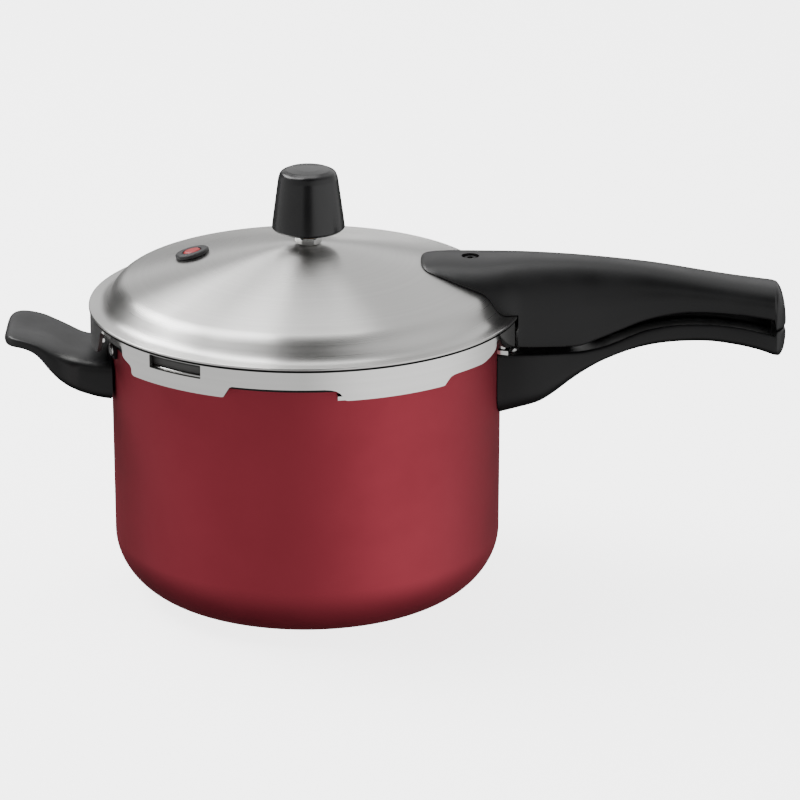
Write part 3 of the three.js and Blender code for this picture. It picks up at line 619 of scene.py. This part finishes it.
POT_UNDER = smooth_through([
    (100, 97.8), (112, 101.1), (122, 104.0), (127, 106.6), (133, 111.0), (139, 116), (145, 120.6),
    (151, 124.6), (158, 128.5), (171, 133.5), (185, 136.7), (198, 138), (212, 138.1), (225, 136.4),
    (239, 133.3), (250.3, 129.5), (251.8, 130.4), (253.1, 132.6), (254.0, 136.0), (254.4, 138.4),
])
POT_WIDTH = smooth_through([
    (100, 23), (116, 23), (140, 20.5), (160, 18.4), (180, 17.2), (204, 16.6), (230, 16.6),
    (248.7, 17.2), (249.6, 16.3), (251.5, 13.4), (253.3, 9.0), (254.1, 5.2), (254.4, 3),
])
HELPER_TOP = smooth_through([
    (100, 132), (112, 132.4), (116, 132.8), (120, 133.6), (125, 135.3), (130, 137.5), (135, 139.7),
    (140, 141.9), (145, 143.4), (150, 144.5), (154, 145.0), (156.5, 144.7), (158.2, 143.7),
    (159, 142.2),
])
HELPER_UNDER = smooth_through([
    (100, 108.4), (108, 109.6), (112, 110.6), (116, 111.9), (120, 113.5), (125, 116.7), (130, 120.9),
    (135, 126.5), (139, 131.8), (142, 134.8), (146, 137.0), (150, 138.0), (156, 138.3), (158.2, 138.9),
    (159, 140),
])
HELPER_WIDTH = smooth_through([
    (100, 27.5), (119, 27.5), (125, 29.3), (130, 30.1), (135, 29.7), (141, 28.4), (149, 26.8),
    (153, 25.2), (156, 22.4), (158, 18.4), (159, 13.5),
])
HELPER_ROOT_RADIUS = 105.2
END_WALL_START = 248.2
LID_TIP_START = 247.4
LID_TIP_BOTTOM = 145.7
POT_TIP_START = 247.6
POT_TIP_TOP = 144.8
LID_HOLLOW_START = 70
POT_HOLLOW_START = 140
POT_HOLLOW_DEPTH = 6.0
SHELL = 3.2
ROOF = 2.6


def ramp(x, start, length):
    """0 up to start, then a straight rise to 1 over length."""
    return min(max((x - start) / length, 0.0), 1.0)


def half_ring(points):
    """Closed ring of (y, z) from a right-hand half that runs from the top middle to the bottom middle."""
    return points + [(-y, z) for y, z in points[-2:0:-1]]


def lid_handle_section(x):
    """Rounded top, near-vertical flanks, open hollow underneath."""
    top, width = LID_CREST(x), LID_WIDTH(x)
    step = ramp(x, LID_TIP_START, 0.9)
    bottom = LID_UNDER(min(x, LID_TIP_START)) * (1 - step) + LID_TIP_BOTTOM * step
    bottom = min(bottom, top - 1.2)
    middle = bottom + 0.36 * (top - bottom)
    half = []
    for i in range(26):
        angle = math.pi / 2 * i / 25
        half.append((width * math.sin(angle) ** 0.80, middle + (top - middle) * math.cos(angle) ** 0.80))
    foot = width - 0.25
    rim = min(SHELL, width * 0.45)
    lip = min(1.0, (top - bottom) / 9.5)
    side = min(1.0, width / 7.5)
    half += [(foot + 0.12, middle * 0.5 + bottom * 0.5), (foot, bottom + 1.5 * lip),
             (foot - 0.25 * side, bottom + 0.6 * lip), (foot - 0.9 * side, bottom + 0.12 * lip),
             (foot - 1.4 * side, bottom)]
    opening = ramp(x, LID_HOLLOW_START, 8) * (1 - ramp(x, END_WALL_START - 0.6, 0.6))
    ceiling = bottom + (top - ROOF - bottom) * opening
    inner = foot - rim
    half += [(inner + 0.5 * side, bottom), (inner + 0.1 * side, bottom + min(0.3, ceiling - bottom)),
             (inner, bottom + min(0.8, ceiling - bottom))]
    for i in range(1, 10):
        angle = math.pi / 2 * i / 9
        half.append((inner * math.cos(angle) ** 0.5, bottom + (ceiling - bottom) * math.sin(angle) ** 0.5))
    return [(x, y, z) for y, z in half_ring(half)]


def grip(node, body, sections, tools):
    """Moulded handle through its sections, with its clearances cut away."""
    obj = finish_mesh(f"{node}_grip", loft(sections), [BLACK])
    for tool in tools:
        cut(obj, tool)
    resharpen(obj, 38)
    put(obj, body, "black_bakelite", node)


def lid_handle():
    extra = [60.8, 61.1, 61.5, 62, 63, 247.4, 247.8, 248.1, 248.3, 248.7, 249.1, 249.6, 250.2, 250.8,
             251.4, 252.0, 252.6, 253.2, 253.6, 254.0, 254.2, 254.4]
    screw_recess = cylinder_tool(4.7, 177.7, 190, LID_SCREW_FRONT_X)
    grip("lid_handle", "lid", [lid_handle_section(x) for x in stations(60.7, 254.4, 150, extra)],
         [lid_keep_out(), screw_recess])


def pot_handle_section(x):
    """Flat or hollow top with rounded rims, rounded underside."""
    width = POT_WIDTH(x)
    step = ramp(x, POT_TIP_START, 0.9)
    top = POT_TOP(min(x, POT_TIP_START)) * (1 - step) + POT_TIP_TOP * step
    if x > 252.4:
        top -= (x - 252.4) ** 2 * 0.75
    bottom = min(POT_UNDER(x), top - 2)
    depth = (ramp(x, POT_HOLLOW_START, 14) * (1 - ramp(x, END_WALL_START - 0.5, 0.5))
             * min(POT_HOLLOW_DEPTH, max(top - bottom - 3.0, 0.0)))
    middle = bottom + 0.5 * (top - bottom)
    side = min(1.0, width / 6.0)
    lip = min(1.0, (top - bottom) / 5.0)
    inner = width - 3.0 * side
    half = []
    for i in range(9):
        angle = math.pi / 2 * i / 8
        sink = depth * math.cos(angle) ** 0.35 if i < 8 else min(depth, 0.7)
        half.append((inner * math.sin(angle) ** 0.35, top - sink))
    half += [(inner + 0.25 * side, top - min(depth, 0.2)), (inner + 0.8 * side, top),
             (width - 1.3 * side, top), (width - 0.5 * side, top - 0.3 * lip),
             (width - 0.1 * side, top - 0.9 * lip), (width, top - 1.8 * lip)]
    for i in range(20):
        angle = math.pi / 2 * i / 19
        half.append((width * math.cos(angle) ** 0.62, middle - (middle - bottom) * math.sin(angle) ** 0.62))
    return [(x, y, z) for y, z in half_ring(half)]


def pot_handle():
    extra = [247.6, 247.9, 248.2, 248.5, 248.7, 249.1, 249.6, 250.2, 250.8, 251.4, 252.0, 252.6, 253.2,
             253.6, 254.0, 254.2, 254.4]
    wall = cylinder_tool(POT_RADIUS + POT_FLARE + 0.4, 60, RIM_TOP, segments=ROUND)
    screw_recess = cylinder_tool(4.6, 90, 112.6, POT_SCREW_X)
    grip("pot_handle", "pot", [pot_handle_section(x) for x in stations(100, 254.4, 130, extra)],
         [wall, plate_tool(105, -9.5, 19), screw_recess])


def helper_section(x):
    """Flattened oval with a shallow thumb hollow on top."""
    top, bottom, width = HELPER_TOP(x), HELPER_UNDER(x), HELPER_WIDTH(x)
    middle = bottom + 0.52 * (top - bottom)
    dip = 1.1 * math.exp(-((x - 146) / 9.0) ** 2)
    half = []
    for i in range(26):
        angle = math.pi / 2 * i / 25
        y = width * math.sin(angle) ** 0.4
        sink = dip * math.exp(-(y / 13.0) ** 2)
        half.append((y, middle + (top - middle) * math.cos(angle) ** 0.4 - sink))
    for i in range(1, 24):
        angle = math.pi / 2 * i / 23
        half.append((width * math.cos(angle) ** 0.42, middle - (middle - bottom) * math.sin(angle) ** 0.42))
    return [(-x, y, z) for y, z in half_ring(half)]


def helper_handle():
    extra = [156.4, 157.2, 157.8, 158.3, 158.7, 159.0]
    wall = cylinder_tool(HELPER_ROOT_RADIUS, 60, RIM_TOP, segments=ROUND)
    screw_recess = cylinder_tool(4.6, 90, 117.1, HELPER_SCREW_X)
    grip("helper_handle", "pot", [helper_section(x) for x in stations(100, 159.0, 60, extra)],
         [wall, plate_tool(111, 169.6, 20.8), screw_recess])


# ---- Sealing ring ----

def sealing_ring():
    low, high = RIM_TOP + 0.3, FLANGE_TOP - LID_SHEET - 0.3
    outline = rounded([
        (110.6, low, 0), (110.7, 149.6, 0.2), (110.7, 152.6, 0.6), (109.4, 154.0, 0.8),
        (107.4, high, 0.6), (99.8, high, 0.5), (99.8, high - 1.2, 0.5), (105.6, high - 2.2, 1.0),
        (107.0, low + 2.2, 1.0), (99.8, low + 1.2, 0.5), (99.8, low, 0.5),
    ], 4)
    obj = lathe("sealing_ring_soft", outline, [SHADE_DARKENED_GREY_RUBBER], ROUND)
    put(obj, "seal", "grey_silicone", "sealing_ring")


# ---- Lid ----

def wrapped_sheet(name, loops, radius, thickness, material):
    """Flat shape in (angle, height), with holes, wrapped round Z and thickened inwards."""
    step, stretch = 1.5, 2.0
    flat = bmesh.new()
    edges = []
    for loop in loops:
        verts = [flat.verts.new((angle, height * stretch, 0)) for angle, height in loop]
        edges += [flat.edges.new((a, b)) for a, b in zip(verts, verts[1:] + verts[:1])]
    bmesh.ops.triangle_fill(flat, use_beauty=True, use_dissolve=False, edges=edges, normal=(0, 0, 1))
    low = min(angle for loop in loops for angle, _ in loop)
    high = max(angle for loop in loops for angle, _ in loop)
    count = int(round((high - low) / step))
    for i in range(1, count):
        geometry = flat.verts[:] + flat.edges[:] + flat.faces[:]
        bmesh.ops.bisect_plane(flat, geom=geometry, dist=1e-5, plane_co=(low + step * i, 0, 0),
                               plane_no=(1, 0, 0))
    bmesh.ops.recalc_face_normals(flat, faces=flat.faces)
    flat.verts.index_update()
    faces = [[v.index for v in f.verts] for f in flat.faces]
    places = [(v.co.x, v.co.y / stretch) for v in flat.verts]
    border = [[v.index for v in e.verts] for e in flat.edges if e.is_boundary]
    flat.free()
    bm = bmesh.new()
    skins = []
    for r in (radius, radius - thickness):
        skins.append([bm.verts.new((r * math.cos(math.radians(a)), r * math.sin(math.radians(a)), z))
                      for a, z in places])
    for face in faces:
        bm.faces.new([skins[0][i] for i in face])
        bm.faces.new([skins[1][i] for i in reversed(face)])
    # The sheet's cut edges take material 1, dark metal painted as a shade line.
    for a, b in border:
        bm.faces.new((skins[0][a], skins[0][b], skins[1][b], skins[1][a])).material_index = 1
    bmesh.ops.remove_doubles(bm, verts=bm.verts, dist=1e-4)
    bmesh.ops.recalc_face_normals(bm, faces=bm.faces)
    obj = finish_mesh(name, bm, [material, SHADED_CUT_EDGE])
    bevel = obj.modifiers.new("edge", "BEVEL")
    bevel.width = 0.35 * MM
    bevel.segments = 2
    bevel.limit_method = "ANGLE"
    bevel.angle_limit = math.radians(60)
    bevel.harden_normals = True
    return obj


def skirt_loops():
    """Lower edge of the skirt as (angle, height): six lugs, stepped gaps and two deep notches."""
    low, plain, deep = LID_LUG_BOTTOM, 145.0, 153.5
    edge = [(-157.0, deep), (-146.4, deep), (-145.5, 152.9), (-145.2, 150.7), (-145.0, 148.5),
            (-144.6, 147.6), (-143.9, 146.8), (-142.1, 145.4), (-141.4, 144.6), (-141.05, 143.4),
            (-140.95, 141.3), (-140.7, 140.4), (-140.0, low + 0.3)]
    edge += [(-111.2, low + 0.2), (-110.6, low + 0.4), (-108.9, 145.3), (-108.2, 145.85)]
    edge += [(-84.2, 145.9), (-82.6, 145.6), (-81.2, 144.9), (-80.1, 143.5), (-79.4, 141.6),
             (-79.0, 140.2), (-78.5, low + 0.1), (-78.0, low)]
    edge += [(-51.0, low), (-50.3, low + 0.15), (-49.9, 140.4), (-49.3, 141.6), (-48.7, 142.7),
             (-48.0, 143.6), (-47.0, 144.1), (-45.5, 144.3)]
    edge += [(-36.0, 144.3), (-34.4, 144.8), (-32.4, 145.9), (-30.5, 147.3), (-29.3, 148.7),
             (-28.9, 150.5), (-29.0, 152.2), (-28.7, 152.8), (-28.2, 153.0), (-27.4, 152.9),
             (-26.9, 152.2), (-26.2, 149.8), (-24.5, 147.4), (-22.0, 145.0), (-18.3, 142.6),
             (-15.0, 140.7), (-13.6, 139.9), (-12.4, low)]
    for middle in lug_angles()[2:5]:
        if middle > 0:
            left = middle - LID_LUG_HALF_ANGLE
            edge += [(left - 1.5, plain), (left - 0.7, plain - 0.3), (left - 0.25, plain - 1.2),
                     (left - 0.1, low + 1.6), (left + 0.3, low + 0.35), (left + 1.0, low)]
        right = middle + LID_LUG_HALF_ANGLE
        edge += [(right - 1.0, low), (right - 0.3, low + 0.35), (right + 0.1, low + 1.6),
                 (right + 0.6, plain - 1.6), (right + 1.3, plain - 0.35), (right + 2.2, plain)]
    edge += [(157.8, plain), (158.6, plain - 0.3), (159.05, plain - 1.2), (159.2, low + 1.6),
             (159.6, low + 0.35), (160.3, low)]
    edge += [(196.4, low), (197.2, low + 0.4), (198.2, 141.5), (199.4, 145.0), (200.4, 149.5),
             (201.2, 152.4), (202.0, 153.3), (203.0, deep)]
    outer = edge + [(203.0, SKIRT_TOP), (-157.0, SKIRT_TOP)]
    left, right, bottom, top, corner = -133.6, -117.0, 147.8, 154.9, 0.35
    turn = math.degrees(corner / SKIRT_RADIUS)
    window = [(left, bottom + corner), (left + turn, bottom), (right - turn, bottom),
              (right, bottom + corner), (right, top - corner), (right - turn, top), (left + turn, top),
              (left, top - corner)]
    return [outer, window]


def lid():
    top = lid_top_points(0.0)
    under = lid_top_points(LID_SHEET)
    edge = rounded([
        (FLANGE_START, FLANGE_TOP, 0),
        (FLANGE_RADIUS, FLANGE_TOP, 0.8),
        (FLANGE_RADIUS, FLANGE_TOP - 1.3, 0.3),
        (112.9, FLANGE_TOP - 1.35, 0),
        (112.8, FLANGE_TOP - LID_SHEET, 0),
    ], 6)
    outline = under + edge[::-1] + top[::-1][1:]

    def paint(radius, height, index):
        # Faces in the crease under the flange's rim get material 2, the near-black painted shade.
        if radius > 112.5 and height < FLANGE_TOP - 1.2:
            return 2
        return 1 if index < len(under) else 0

    dome = lathe("lid_dome", outline, [LID_METAL, INSIDE_METAL, PAINTED_SHADE_METAL], ROUND, paint=paint)
    holes = [(2.5, (LID_RIVET_X, -LID_RIVET_Y)), (2.5, (LID_RIVET_X, LID_RIVET_Y)), (6.4, valve_place())]
    for radius, place in holes:
        tool = cylinder_tool(radius, -6, 4)
        bmesh.ops.transform(tool, matrix=on_dome(*place), verts=tool.verts)
        cut(dome, tool)
    cut(dome, cylinder_tool(4.3, 180, 195, VENT_X))
    resharpen(dome, 32)
    put(dome, "lid", "satin_aluminium", "lid_shell")
    skirt = wrapped_sheet("lid_skirt", skirt_loops(), SKIRT_RADIUS, LID_SHEET, POLISHED)
    put(skirt, "lid", "satin_aluminium", "lid_shell")
    lip_section = rounded([
        (SKIRT_RADIUS - 1.0, LID_LUG_BOTTOM + 0.1, 0),
        (SKIRT_RADIUS - 1.0, LID_LUG_BOTTOM + 2.3, 0.2),
        (LID_LIP_INNER_RADIUS, LID_LUG_BOTTOM + 2.2, 0.8),
        (LID_LIP_INNER_RADIUS, LID_LUG_BOTTOM + 0.05, 0.8),
        (SKIRT_RADIUS - 1.2, LID_LUG_BOTTOM + 0.05, 0),
    ], 4)
    for i, angle in enumerate(lug_angles()):
        start = angle - (LID_LUG_HALF_ANGLE if i == 1 else LID_LIP_HALF_ANGLE)
        bm = revolve(lip_section, 28, start, angle + LID_LIP_HALF_ANGLE - start)
        lip = finish_mesh(f"lid_lip_{i + 1}", bm, [POLISHED])
        put(lip, "lid", "satin_aluminium", "lid_shell")


# ---- Vent, weight and safety valve ----

def at_vent(height=0.0):
    return Matrix.Translation((VENT_X, 0, height))


def hex_nut(name, across, bore, bottom, top, place, material):
    """Hexagonal nut with chamfered corners."""
    radius, chamfer = across / 2, 0.5
    bm = revolve([(bore, bottom), (radius * 0.9, bottom), (radius, bottom + chamfer),
                  (radius, top - chamfer), (radius * 0.9, top), (bore, top)], 96)
    obj = finish_mesh(name, bm, [material])
    cut(obj, cylinder_tool(radius * 1.02, bottom - 1, top + 1, segments=6), "INTERSECT")
    in_metres = place.copy()
    in_metres.translation = place.translation * MM
    obj.data.transform(in_metres)
    resharpen(obj, 25)
    return obj


def weight():
    body = rounded([
        (4.3, 194.1, 0), (6.5, 194.1, 0.5), (6.5, 198.2, 0.4), (12, 199.2, 0.5),
        (11.2, 222.5, 0.8), (0, 222.5, 0),
    ], 4) + [(0, 207), (2.6, 205.3), (4.3, 201.3)]
    core = lathe("weight_core", body, [STEEL], 64, place=at_vent())
    put(core, "weight", "bright_steel", "regulator_weight")
    outline = rounded([
        (6.9, 197.1, 0), (18.0, 197.0, 0.8), (19.35, 198.2, 1.0), (18.85, 202.5, 6), (17.3, 214, 12),
        (15.8, 224.9, 3), (14.7, 228.2, 3), (11.5, 229.6, 3), (6, 230.0, 4), (0, 230.1, 0),
    ], 6) + [(0, 222.9), (11.6, 222.9), (12.4, 198.8), (6.9, 198.8)]
    cap = lathe("weight_cap_moulding", outline, [GLOSS_BLACK], 96, place=at_vent())
    put(cap, "weight", "black_bakelite", "weight_cap")


def vent():
    pad = dome_height(VENT_PAD_RADIUS)
    pipe = [(1.6, -8), (7.5, -8), (7.5, -4.2), (4, -4.2), (4, 0.2)]
    for i in range(9):
        z = 0.3 + i * 0.9
        pipe += [(4.0, z), (3.65, z + 0.45)]
    pipe += [(4.0, 9), (4.0, 11.8), (2.6, 15.6), (1.6, 15.6)]
    put(lathe("vent_pipe_turned", pipe, [BRASS], 48, place=at_vent(pad)), "lid", "brass", "vent_pipe")
    nut = hex_nut("vent_nut_hex", 14, 4.3, 0.3, 3.9, at_vent(pad), STEEL)
    put(nut, "lid", "bright_steel", "vent_nut")
    ring = rounded([(5, -3.9, 0), (7.2, -3.9, 0.5), (7.2, -2.3, 0.5), (4.3, -2.3, 0), (4.3, -3.9, 0)], 3)
    seal = lathe("vent_seal_ring", ring, [BLACK_RUBBER], 48, place=at_vent(pad))
    put(seal, "lid", "black_silicone", "vent_seal")
    cup = rounded([(0, -15.6, 0), (6.6, -15.6, 0.8), (7.4, -14.6, 0.6), (7.4, -8.3, 0.2), (6.6, -8.3, 0.2),
                   (6.6, -14.4, 0.5), (6, -14.8, 0.2), (0, -14.8, 0)], 3)
    strainer = lathe("vent_strainer_cup", cup, [STEEL], 64)
    for i in range(6):
        slot_tool = bmesh.new()
        bmesh.ops.create_cube(slot_tool, size=1.0)
        bmesh.ops.scale(slot_tool, vec=(5, 1.8, 3.8), verts=slot_tool.verts)
        bmesh.ops.translate(slot_tool, vec=(6.5, 0, -11.7), verts=slot_tool.verts)
        turn = Matrix.Rotation(math.radians(30 + 60 * i), 3, "Z")
        bmesh.ops.rotate(slot_tool, cent=(0, 0, 0), matrix=turn, verts=slot_tool.verts)
        cut(strainer, slot_tool)
    strainer.data.transform(Matrix.Translation((VENT_X * MM, 0, pad * MM)))
    resharpen(strainer)
    put(strainer, "lid", "bright_steel", "vent_strainer")


def valve_place():
    angle = math.radians(VALVE_ANGLE)
    return VALVE_RADIUS_FROM_AXIS * math.cos(angle), VALVE_RADIUS_FROM_AXIS * math.sin(angle)


def safety_valve():
    place = on_dome(*valve_place())
    grommet = rounded([
        (3.5, 0.9, 0), (3.5, -4.3, 0.3), (7.6, -4.3, 0.6), (8.4, -3.4, 0.4), (8.4, -2.3, 0.3),
        (6.2, -2.3, 0.2), (6.2, 0.1, 0.1), (9.1, 0.05, 0.2), (9.1, 1.6, 0.4), (8.5, 2.25, 0.5),
        (5.3, 2.3, 0.4), (4.9, 0.95, 0.2), (3.6, 0.9, 0),
    ], 4)
    ring = lathe("valve_grommet", grommet, [BLACK_RUBBER], 96, place=place)
    put(ring, "lid", "black_silicone", "safety_grommet")
    pin = rounded([
        (0, -11, 0), (2, -11, 0.3), (2, -9.2, 0.1), (3.2, -9.2, 0.3), (3.2, 1.2, 0.1), (4.6, 1.25, 0.2),
        (4.55, 2.0, 0.5), (3.9, 2.5, 0.6), (0, 2.75, 0),
    ], 4)
    put(lathe("valve_pin", pin, [RED_RUBBER], 64, place=place), "pin", "red_silicone", "pressure_pin")
    clip = rounded([(3, -10.6, 0), (5.2, -10.6, 0.3), (5.2, -9.5, 0.3), (2.3, -9.5, 0.2), (2.3, -10.6, 0.2),
                    (2.8, -10.6, 0)], 3)
    put(lathe("valve_clip", clip, [STEEL], 48, place=place), "pin", "bright_steel", "pin_clip")


# ---- Small hardware ----

def wall_rivet(name, angle, height, node):
    inside = POT_RADIUS - POT_WALL - 0.3
    face = PLATE_OUTER_RADIUS + 0.3
    outline = rounded([
        (0, inside - 1.4, 0), (2.4, inside - 1.2, 1), (4.5, inside - 0.3, 0.6), (4.6, inside, 0.1),
        (2.2, inside, 0), (2.2, face, 0), (3.8, face, 0.1), (3.6, face + 0.6, 0.5),
        (2.4, face + 1.05, 0.8), (0, face + 1.15, 0),
    ], 4)
    turn = Matrix.Rotation(math.radians(angle), 4, "Z") @ Matrix.Rotation(math.pi / 2, 4, "Y")
    obj = lathe(name, outline, [STEEL], 48, place=Matrix.Translation((0, 0, height)) @ turn)
    put(obj, "pot", "bright_steel", node)


def headed_screw(name, place, head_bottom, tip, body, node, steel=STEEL):
    shoulder = head_bottom + 2.6
    outline = rounded([
        (0, head_bottom + 1.1, 0), (1.5, head_bottom + 1.1, 0.1), (1.6, head_bottom, 0.1),
        (3.4, head_bottom, 0.6), (4.2, head_bottom + 0.8, 0.5), (4.2, shoulder, 0.1), (2, shoulder, 0),
    ], 3)
    z = shoulder + 0.6
    while z < tip - 2.2:
        outline += [(2.0, z), (1.65, z + THREAD_PITCH / 2)]
        z += THREAD_PITCH
    outline += [(2.0, tip - 1.6), (0.9, tip), (0, tip)]
    put(lathe(name, outline, [steel], 32, place=place), body, "bright_steel", node)


def hardware():
    for i, height in enumerate(RIVET_HEIGHTS):
        wall_rivet(f"handle_rivet_{i + 1}", 0, height, f"pot_handle_rivet_{i + 1}")
    for side, turn in (("front", 1), ("back", -1)):
        wall_rivet(f"helper_rivet_{side}_head", 180 + turn * HELPER_RIVET_ANGLE, HELPER_RIVET_HEIGHT,
                   f"helper_rivet_{side}")
        root = Matrix.Translation((ROOT_BOLT[0], -turn * ROOT_BOLT[1], 0))
        stud = [(0, 120), (1.5, 120), (1.5, 134.5)]
        for k in range(5):
            z = 134.8 + k * THREAD_PITCH
            stud += [(1.5, z), (1.25, z + THREAD_PITCH / 2)]
        stud += [(1.5, 138.0), (1.1, 138.55), (0, 138.6)]
        bolt = lathe(f"root_stud_{side}", stud, [STEEL], 32, place=root)
        put(bolt, "pot", "bright_steel", f"root_bolt_{side}")
        nut = hex_nut(f"root_nut_{side}_hex", 6.6, 1.8, 135.1, 137.0, root, STEEL)
        put(nut, "pot", "bright_steel", f"root_nut_{side}")
        shape = rounded([
            (0, -3.8, 0), (2.6, -3.6, 0.8), (3.9, -2.6, 0.4), (4, -2.4, 0.1), (2.2, -2.4, 0), (2.2, 3.3, 0),
            (3.8, 3.3, 0.1), (3.5, 3.75, 0.4), (2, 3.88, 0.8), (0, 3.9, 0),
        ], 4)
        place = on_dome(LID_RIVET_X, -turn * LID_RIVET_Y)
        rivet = lathe(f"lid_rivet_{side}_head", shape, [STEEL], 48, place=place)
        put(rivet, "lid", "bright_steel", f"lid_rivet_{side}")
    for name, x, bottom, tip, body, node in (
            ("pot_handle_screw_turned", POT_SCREW_X, 109.7, 131, "pot", "pot_handle_screw"),
            ("helper_screw_turned", HELPER_SCREW_X, 114.2, 128.5, "pot", "helper_screw"),
            ("lid_screw_rear_turned", LID_SCREW_REAR_X, 168.5, 178.4, "lid", "lid_handle_screw_rear")):
        headed_screw(name, Matrix.Translation((x, 0, 0)), bottom, tip, body, node)
    flip = Matrix.Translation((LID_SCREW_FRONT_X, 0, 181.2)) @ Matrix.Rotation(math.pi, 4, "X")
    # The recessed front screw takes near-black steel as painted shade.
    headed_screw("lid_screw_front_turned", flip, 0, 8.3, "lid", "lid_handle_screw_front", SHADE_BLACK_STEEL)


def kept_cad_nodes():
    """CAD pieces whose shape is already right only get a better material."""
    # The helper bracket's near-black steel is painted shade under the lid's rim.
    for node, material in (("pot_handle_bracket", BRACKET_STEEL), ("helper_bracket", SHADE_BLACK_STEEL),
                           ("lid_handle_bracket", BRACKET_STEEL), ("lid_handle_cover", BLACK)):
        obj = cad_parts[node]
        obj.data.materials.clear()
        obj.data.materials.append(material)


# ---- Stage: floor, light and camera ----

# Level of the surround at each elevation in degrees. Glows and flags: azimuth from +X towards +Y,
# elevation, inner and outer half-angle of their soft edge, then added level or share kept.
WORLD_LEVELS = [(-90, 0.03), (-62, 0.22), (-40, 0.68), (-12, 0.85), (8, 0.72), (25, 0.45), (90, 0.32)]
WORLD_GLOWS = [
    (-31, -2, 5, 62, 0.70),
    (90, 34, 10, 80, 0.50),
    (40, 56, 8, 46, 0.15),
]
WORLD_FLAGS = [
    (-90, 1, 7, 20, 0.06),
    (94, -48, 55.5, 59, 0.10),
    (130, 17, 12, 26, 0.06),
    (-90, 58, 13, 31, 0.02),
]


def direction_of(azimuth, elevation):
    """Unit vector; azimuth is measured from +X towards +Y, both in degrees."""
    a, e = math.radians(azimuth), math.radians(elevation)
    return Vector((math.cos(e) * math.cos(a), math.cos(e) * math.sin(a), math.sin(e)))


def area_light(name, azimuth, elevation, size, power):
    """Softbox aimed at the lid."""
    target, distance = Vector((0.0, 0.0, 0.15)), 2.0
    way = direction_of(azimuth, elevation)
    data = bpy.data.lights.new(name, "AREA")
    data.shape = "RECTANGLE"
    data.size, data.size_y = size
    data.energy = power
    obj = bpy.data.objects.new(name, data)
    obj.location = target + way * distance
    obj.rotation_euler = way.to_track_quat("Z", "Y").to_euler()
    bpy.context.scene.collection.objects.link(obj)


def direction_cap(tree, direction, azimuth, elevation, inner, outer):
    """1 inside a cone of directions, falling to 0 between its inner and outer half-angles."""
    dot = tree.nodes.new("ShaderNodeVectorMath")
    dot.operation = "DOT_PRODUCT"
    dot.inputs[1].default_value = direction_of(azimuth, elevation)
    tree.links.new(direction, dot.inputs[0])
    fall = tree.nodes.new("ShaderNodeMapRange")
    fall.interpolation_type = "SMOOTHSTEP"
    fall.inputs["From Min"].default_value = math.cos(math.radians(outer))
    fall.inputs["From Max"].default_value = math.cos(math.radians(inner))
    tree.links.new(dot.outputs["Value"], fall.inputs["Value"])
    return fall.outputs["Result"]


def studio_world():
    """Soft studio surround: a level for each height above the horizon, broad glows, and dark flags."""
    world = bpy.data.worlds.new("studio")
    world.use_nodes = True
    tree = world.node_tree
    direction = tree.nodes.new("ShaderNodeTexCoord").outputs["Generated"]
    parts = tree.nodes.new("ShaderNodeSeparateXYZ")
    tree.links.new(direction, parts.inputs[0])
    levels = tree.nodes.new("ShaderNodeValToRGB")
    while len(levels.color_ramp.elements) < len(WORLD_LEVELS):
        levels.color_ramp.elements.new(0.5)
    for element, (elevation, level) in zip(levels.color_ramp.elements, WORLD_LEVELS):
        element.position = (math.sin(math.radians(elevation)) + 1) / 2
        element.color = (level, level, level, 1)
    height = math_node(tree, "MULTIPLY", math_node(tree, "ADD", parts.outputs["Z"], 1.0), 0.5)
    tree.links.new(height, levels.inputs["Fac"])
    total = levels.outputs["Color"]
    for azimuth, elevation, inner, outer, level in WORLD_GLOWS:
        cap = direction_cap(tree, direction, azimuth, elevation, inner, outer)
        total = math_node(tree, "ADD", total, math_node(tree, "MULTIPLY", cap, level))
    for azimuth, elevation, inner, outer, keep in WORLD_FLAGS:
        cap = direction_cap(tree, direction, azimuth, elevation, inner, outer)
        dimmed = math_node(tree, "SUBTRACT", 1.0, math_node(tree, "MULTIPLY", cap, 1.0 - keep))
        total = math_node(tree, "MULTIPLY", total, dimmed)
    tree.links.new(total, tree.nodes["Background"].inputs["Color"])
    bpy.context.scene.world = world


def stage():
    mesh = bpy.data.meshes.new("floor")
    half = 12.0
    corners = [(-half, -half, 0), (half, -half, 0), (half, half, 0), (-half, half, 0)]
    mesh.from_pydata(corners, [], [(0, 1, 2, 3)])
    mesh.materials.append(floor_material())
    floor = bpy.data.objects.new("floor", mesh)
    floor.location.z = -0.0002
    floor.visible_glossy = False
    floor.visible_diffuse = False
    bpy.context.scene.collection.objects.link(floor)
    studio_world()
    area_light("softbox_back_left", 136, 36, (0.8, 0.6), 10)
    area_light("softbox_left", 160, 44, (1.1, 0.8), 27)
    area_light("softbox_top", 170, 68, (1.1, 0.9), 22)
    area_light("softbox_back", 96, 66, (1.0, 0.8), 6)


def camera():
    data = bpy.data.cameras.new("camera")
    data.sensor_width = 36
    data.lens = 210.8
    data.clip_end = 60
    obj = bpy.data.objects.new("camera", data)
    pitch = math.radians(18.994)
    distance = 2.5
    target = Vector((0.04988, 0, 0.10148))
    obj.location = target + Vector((0, -math.cos(pitch), math.sin(pitch))) * distance
    obj.rotation_euler = (math.pi / 2 - pitch, 0, 0)
    bpy.context.scene.collection.objects.link(obj)
    bpy.context.scene.camera = obj


# ---- Build ----

camera()
stage()
pot_body()
pot_handle()
helper_handle()
sealing_ring()
lid()
lid_handle()
vent()
weight()
safety_valve()
hardware()
kept_cad_nodes()
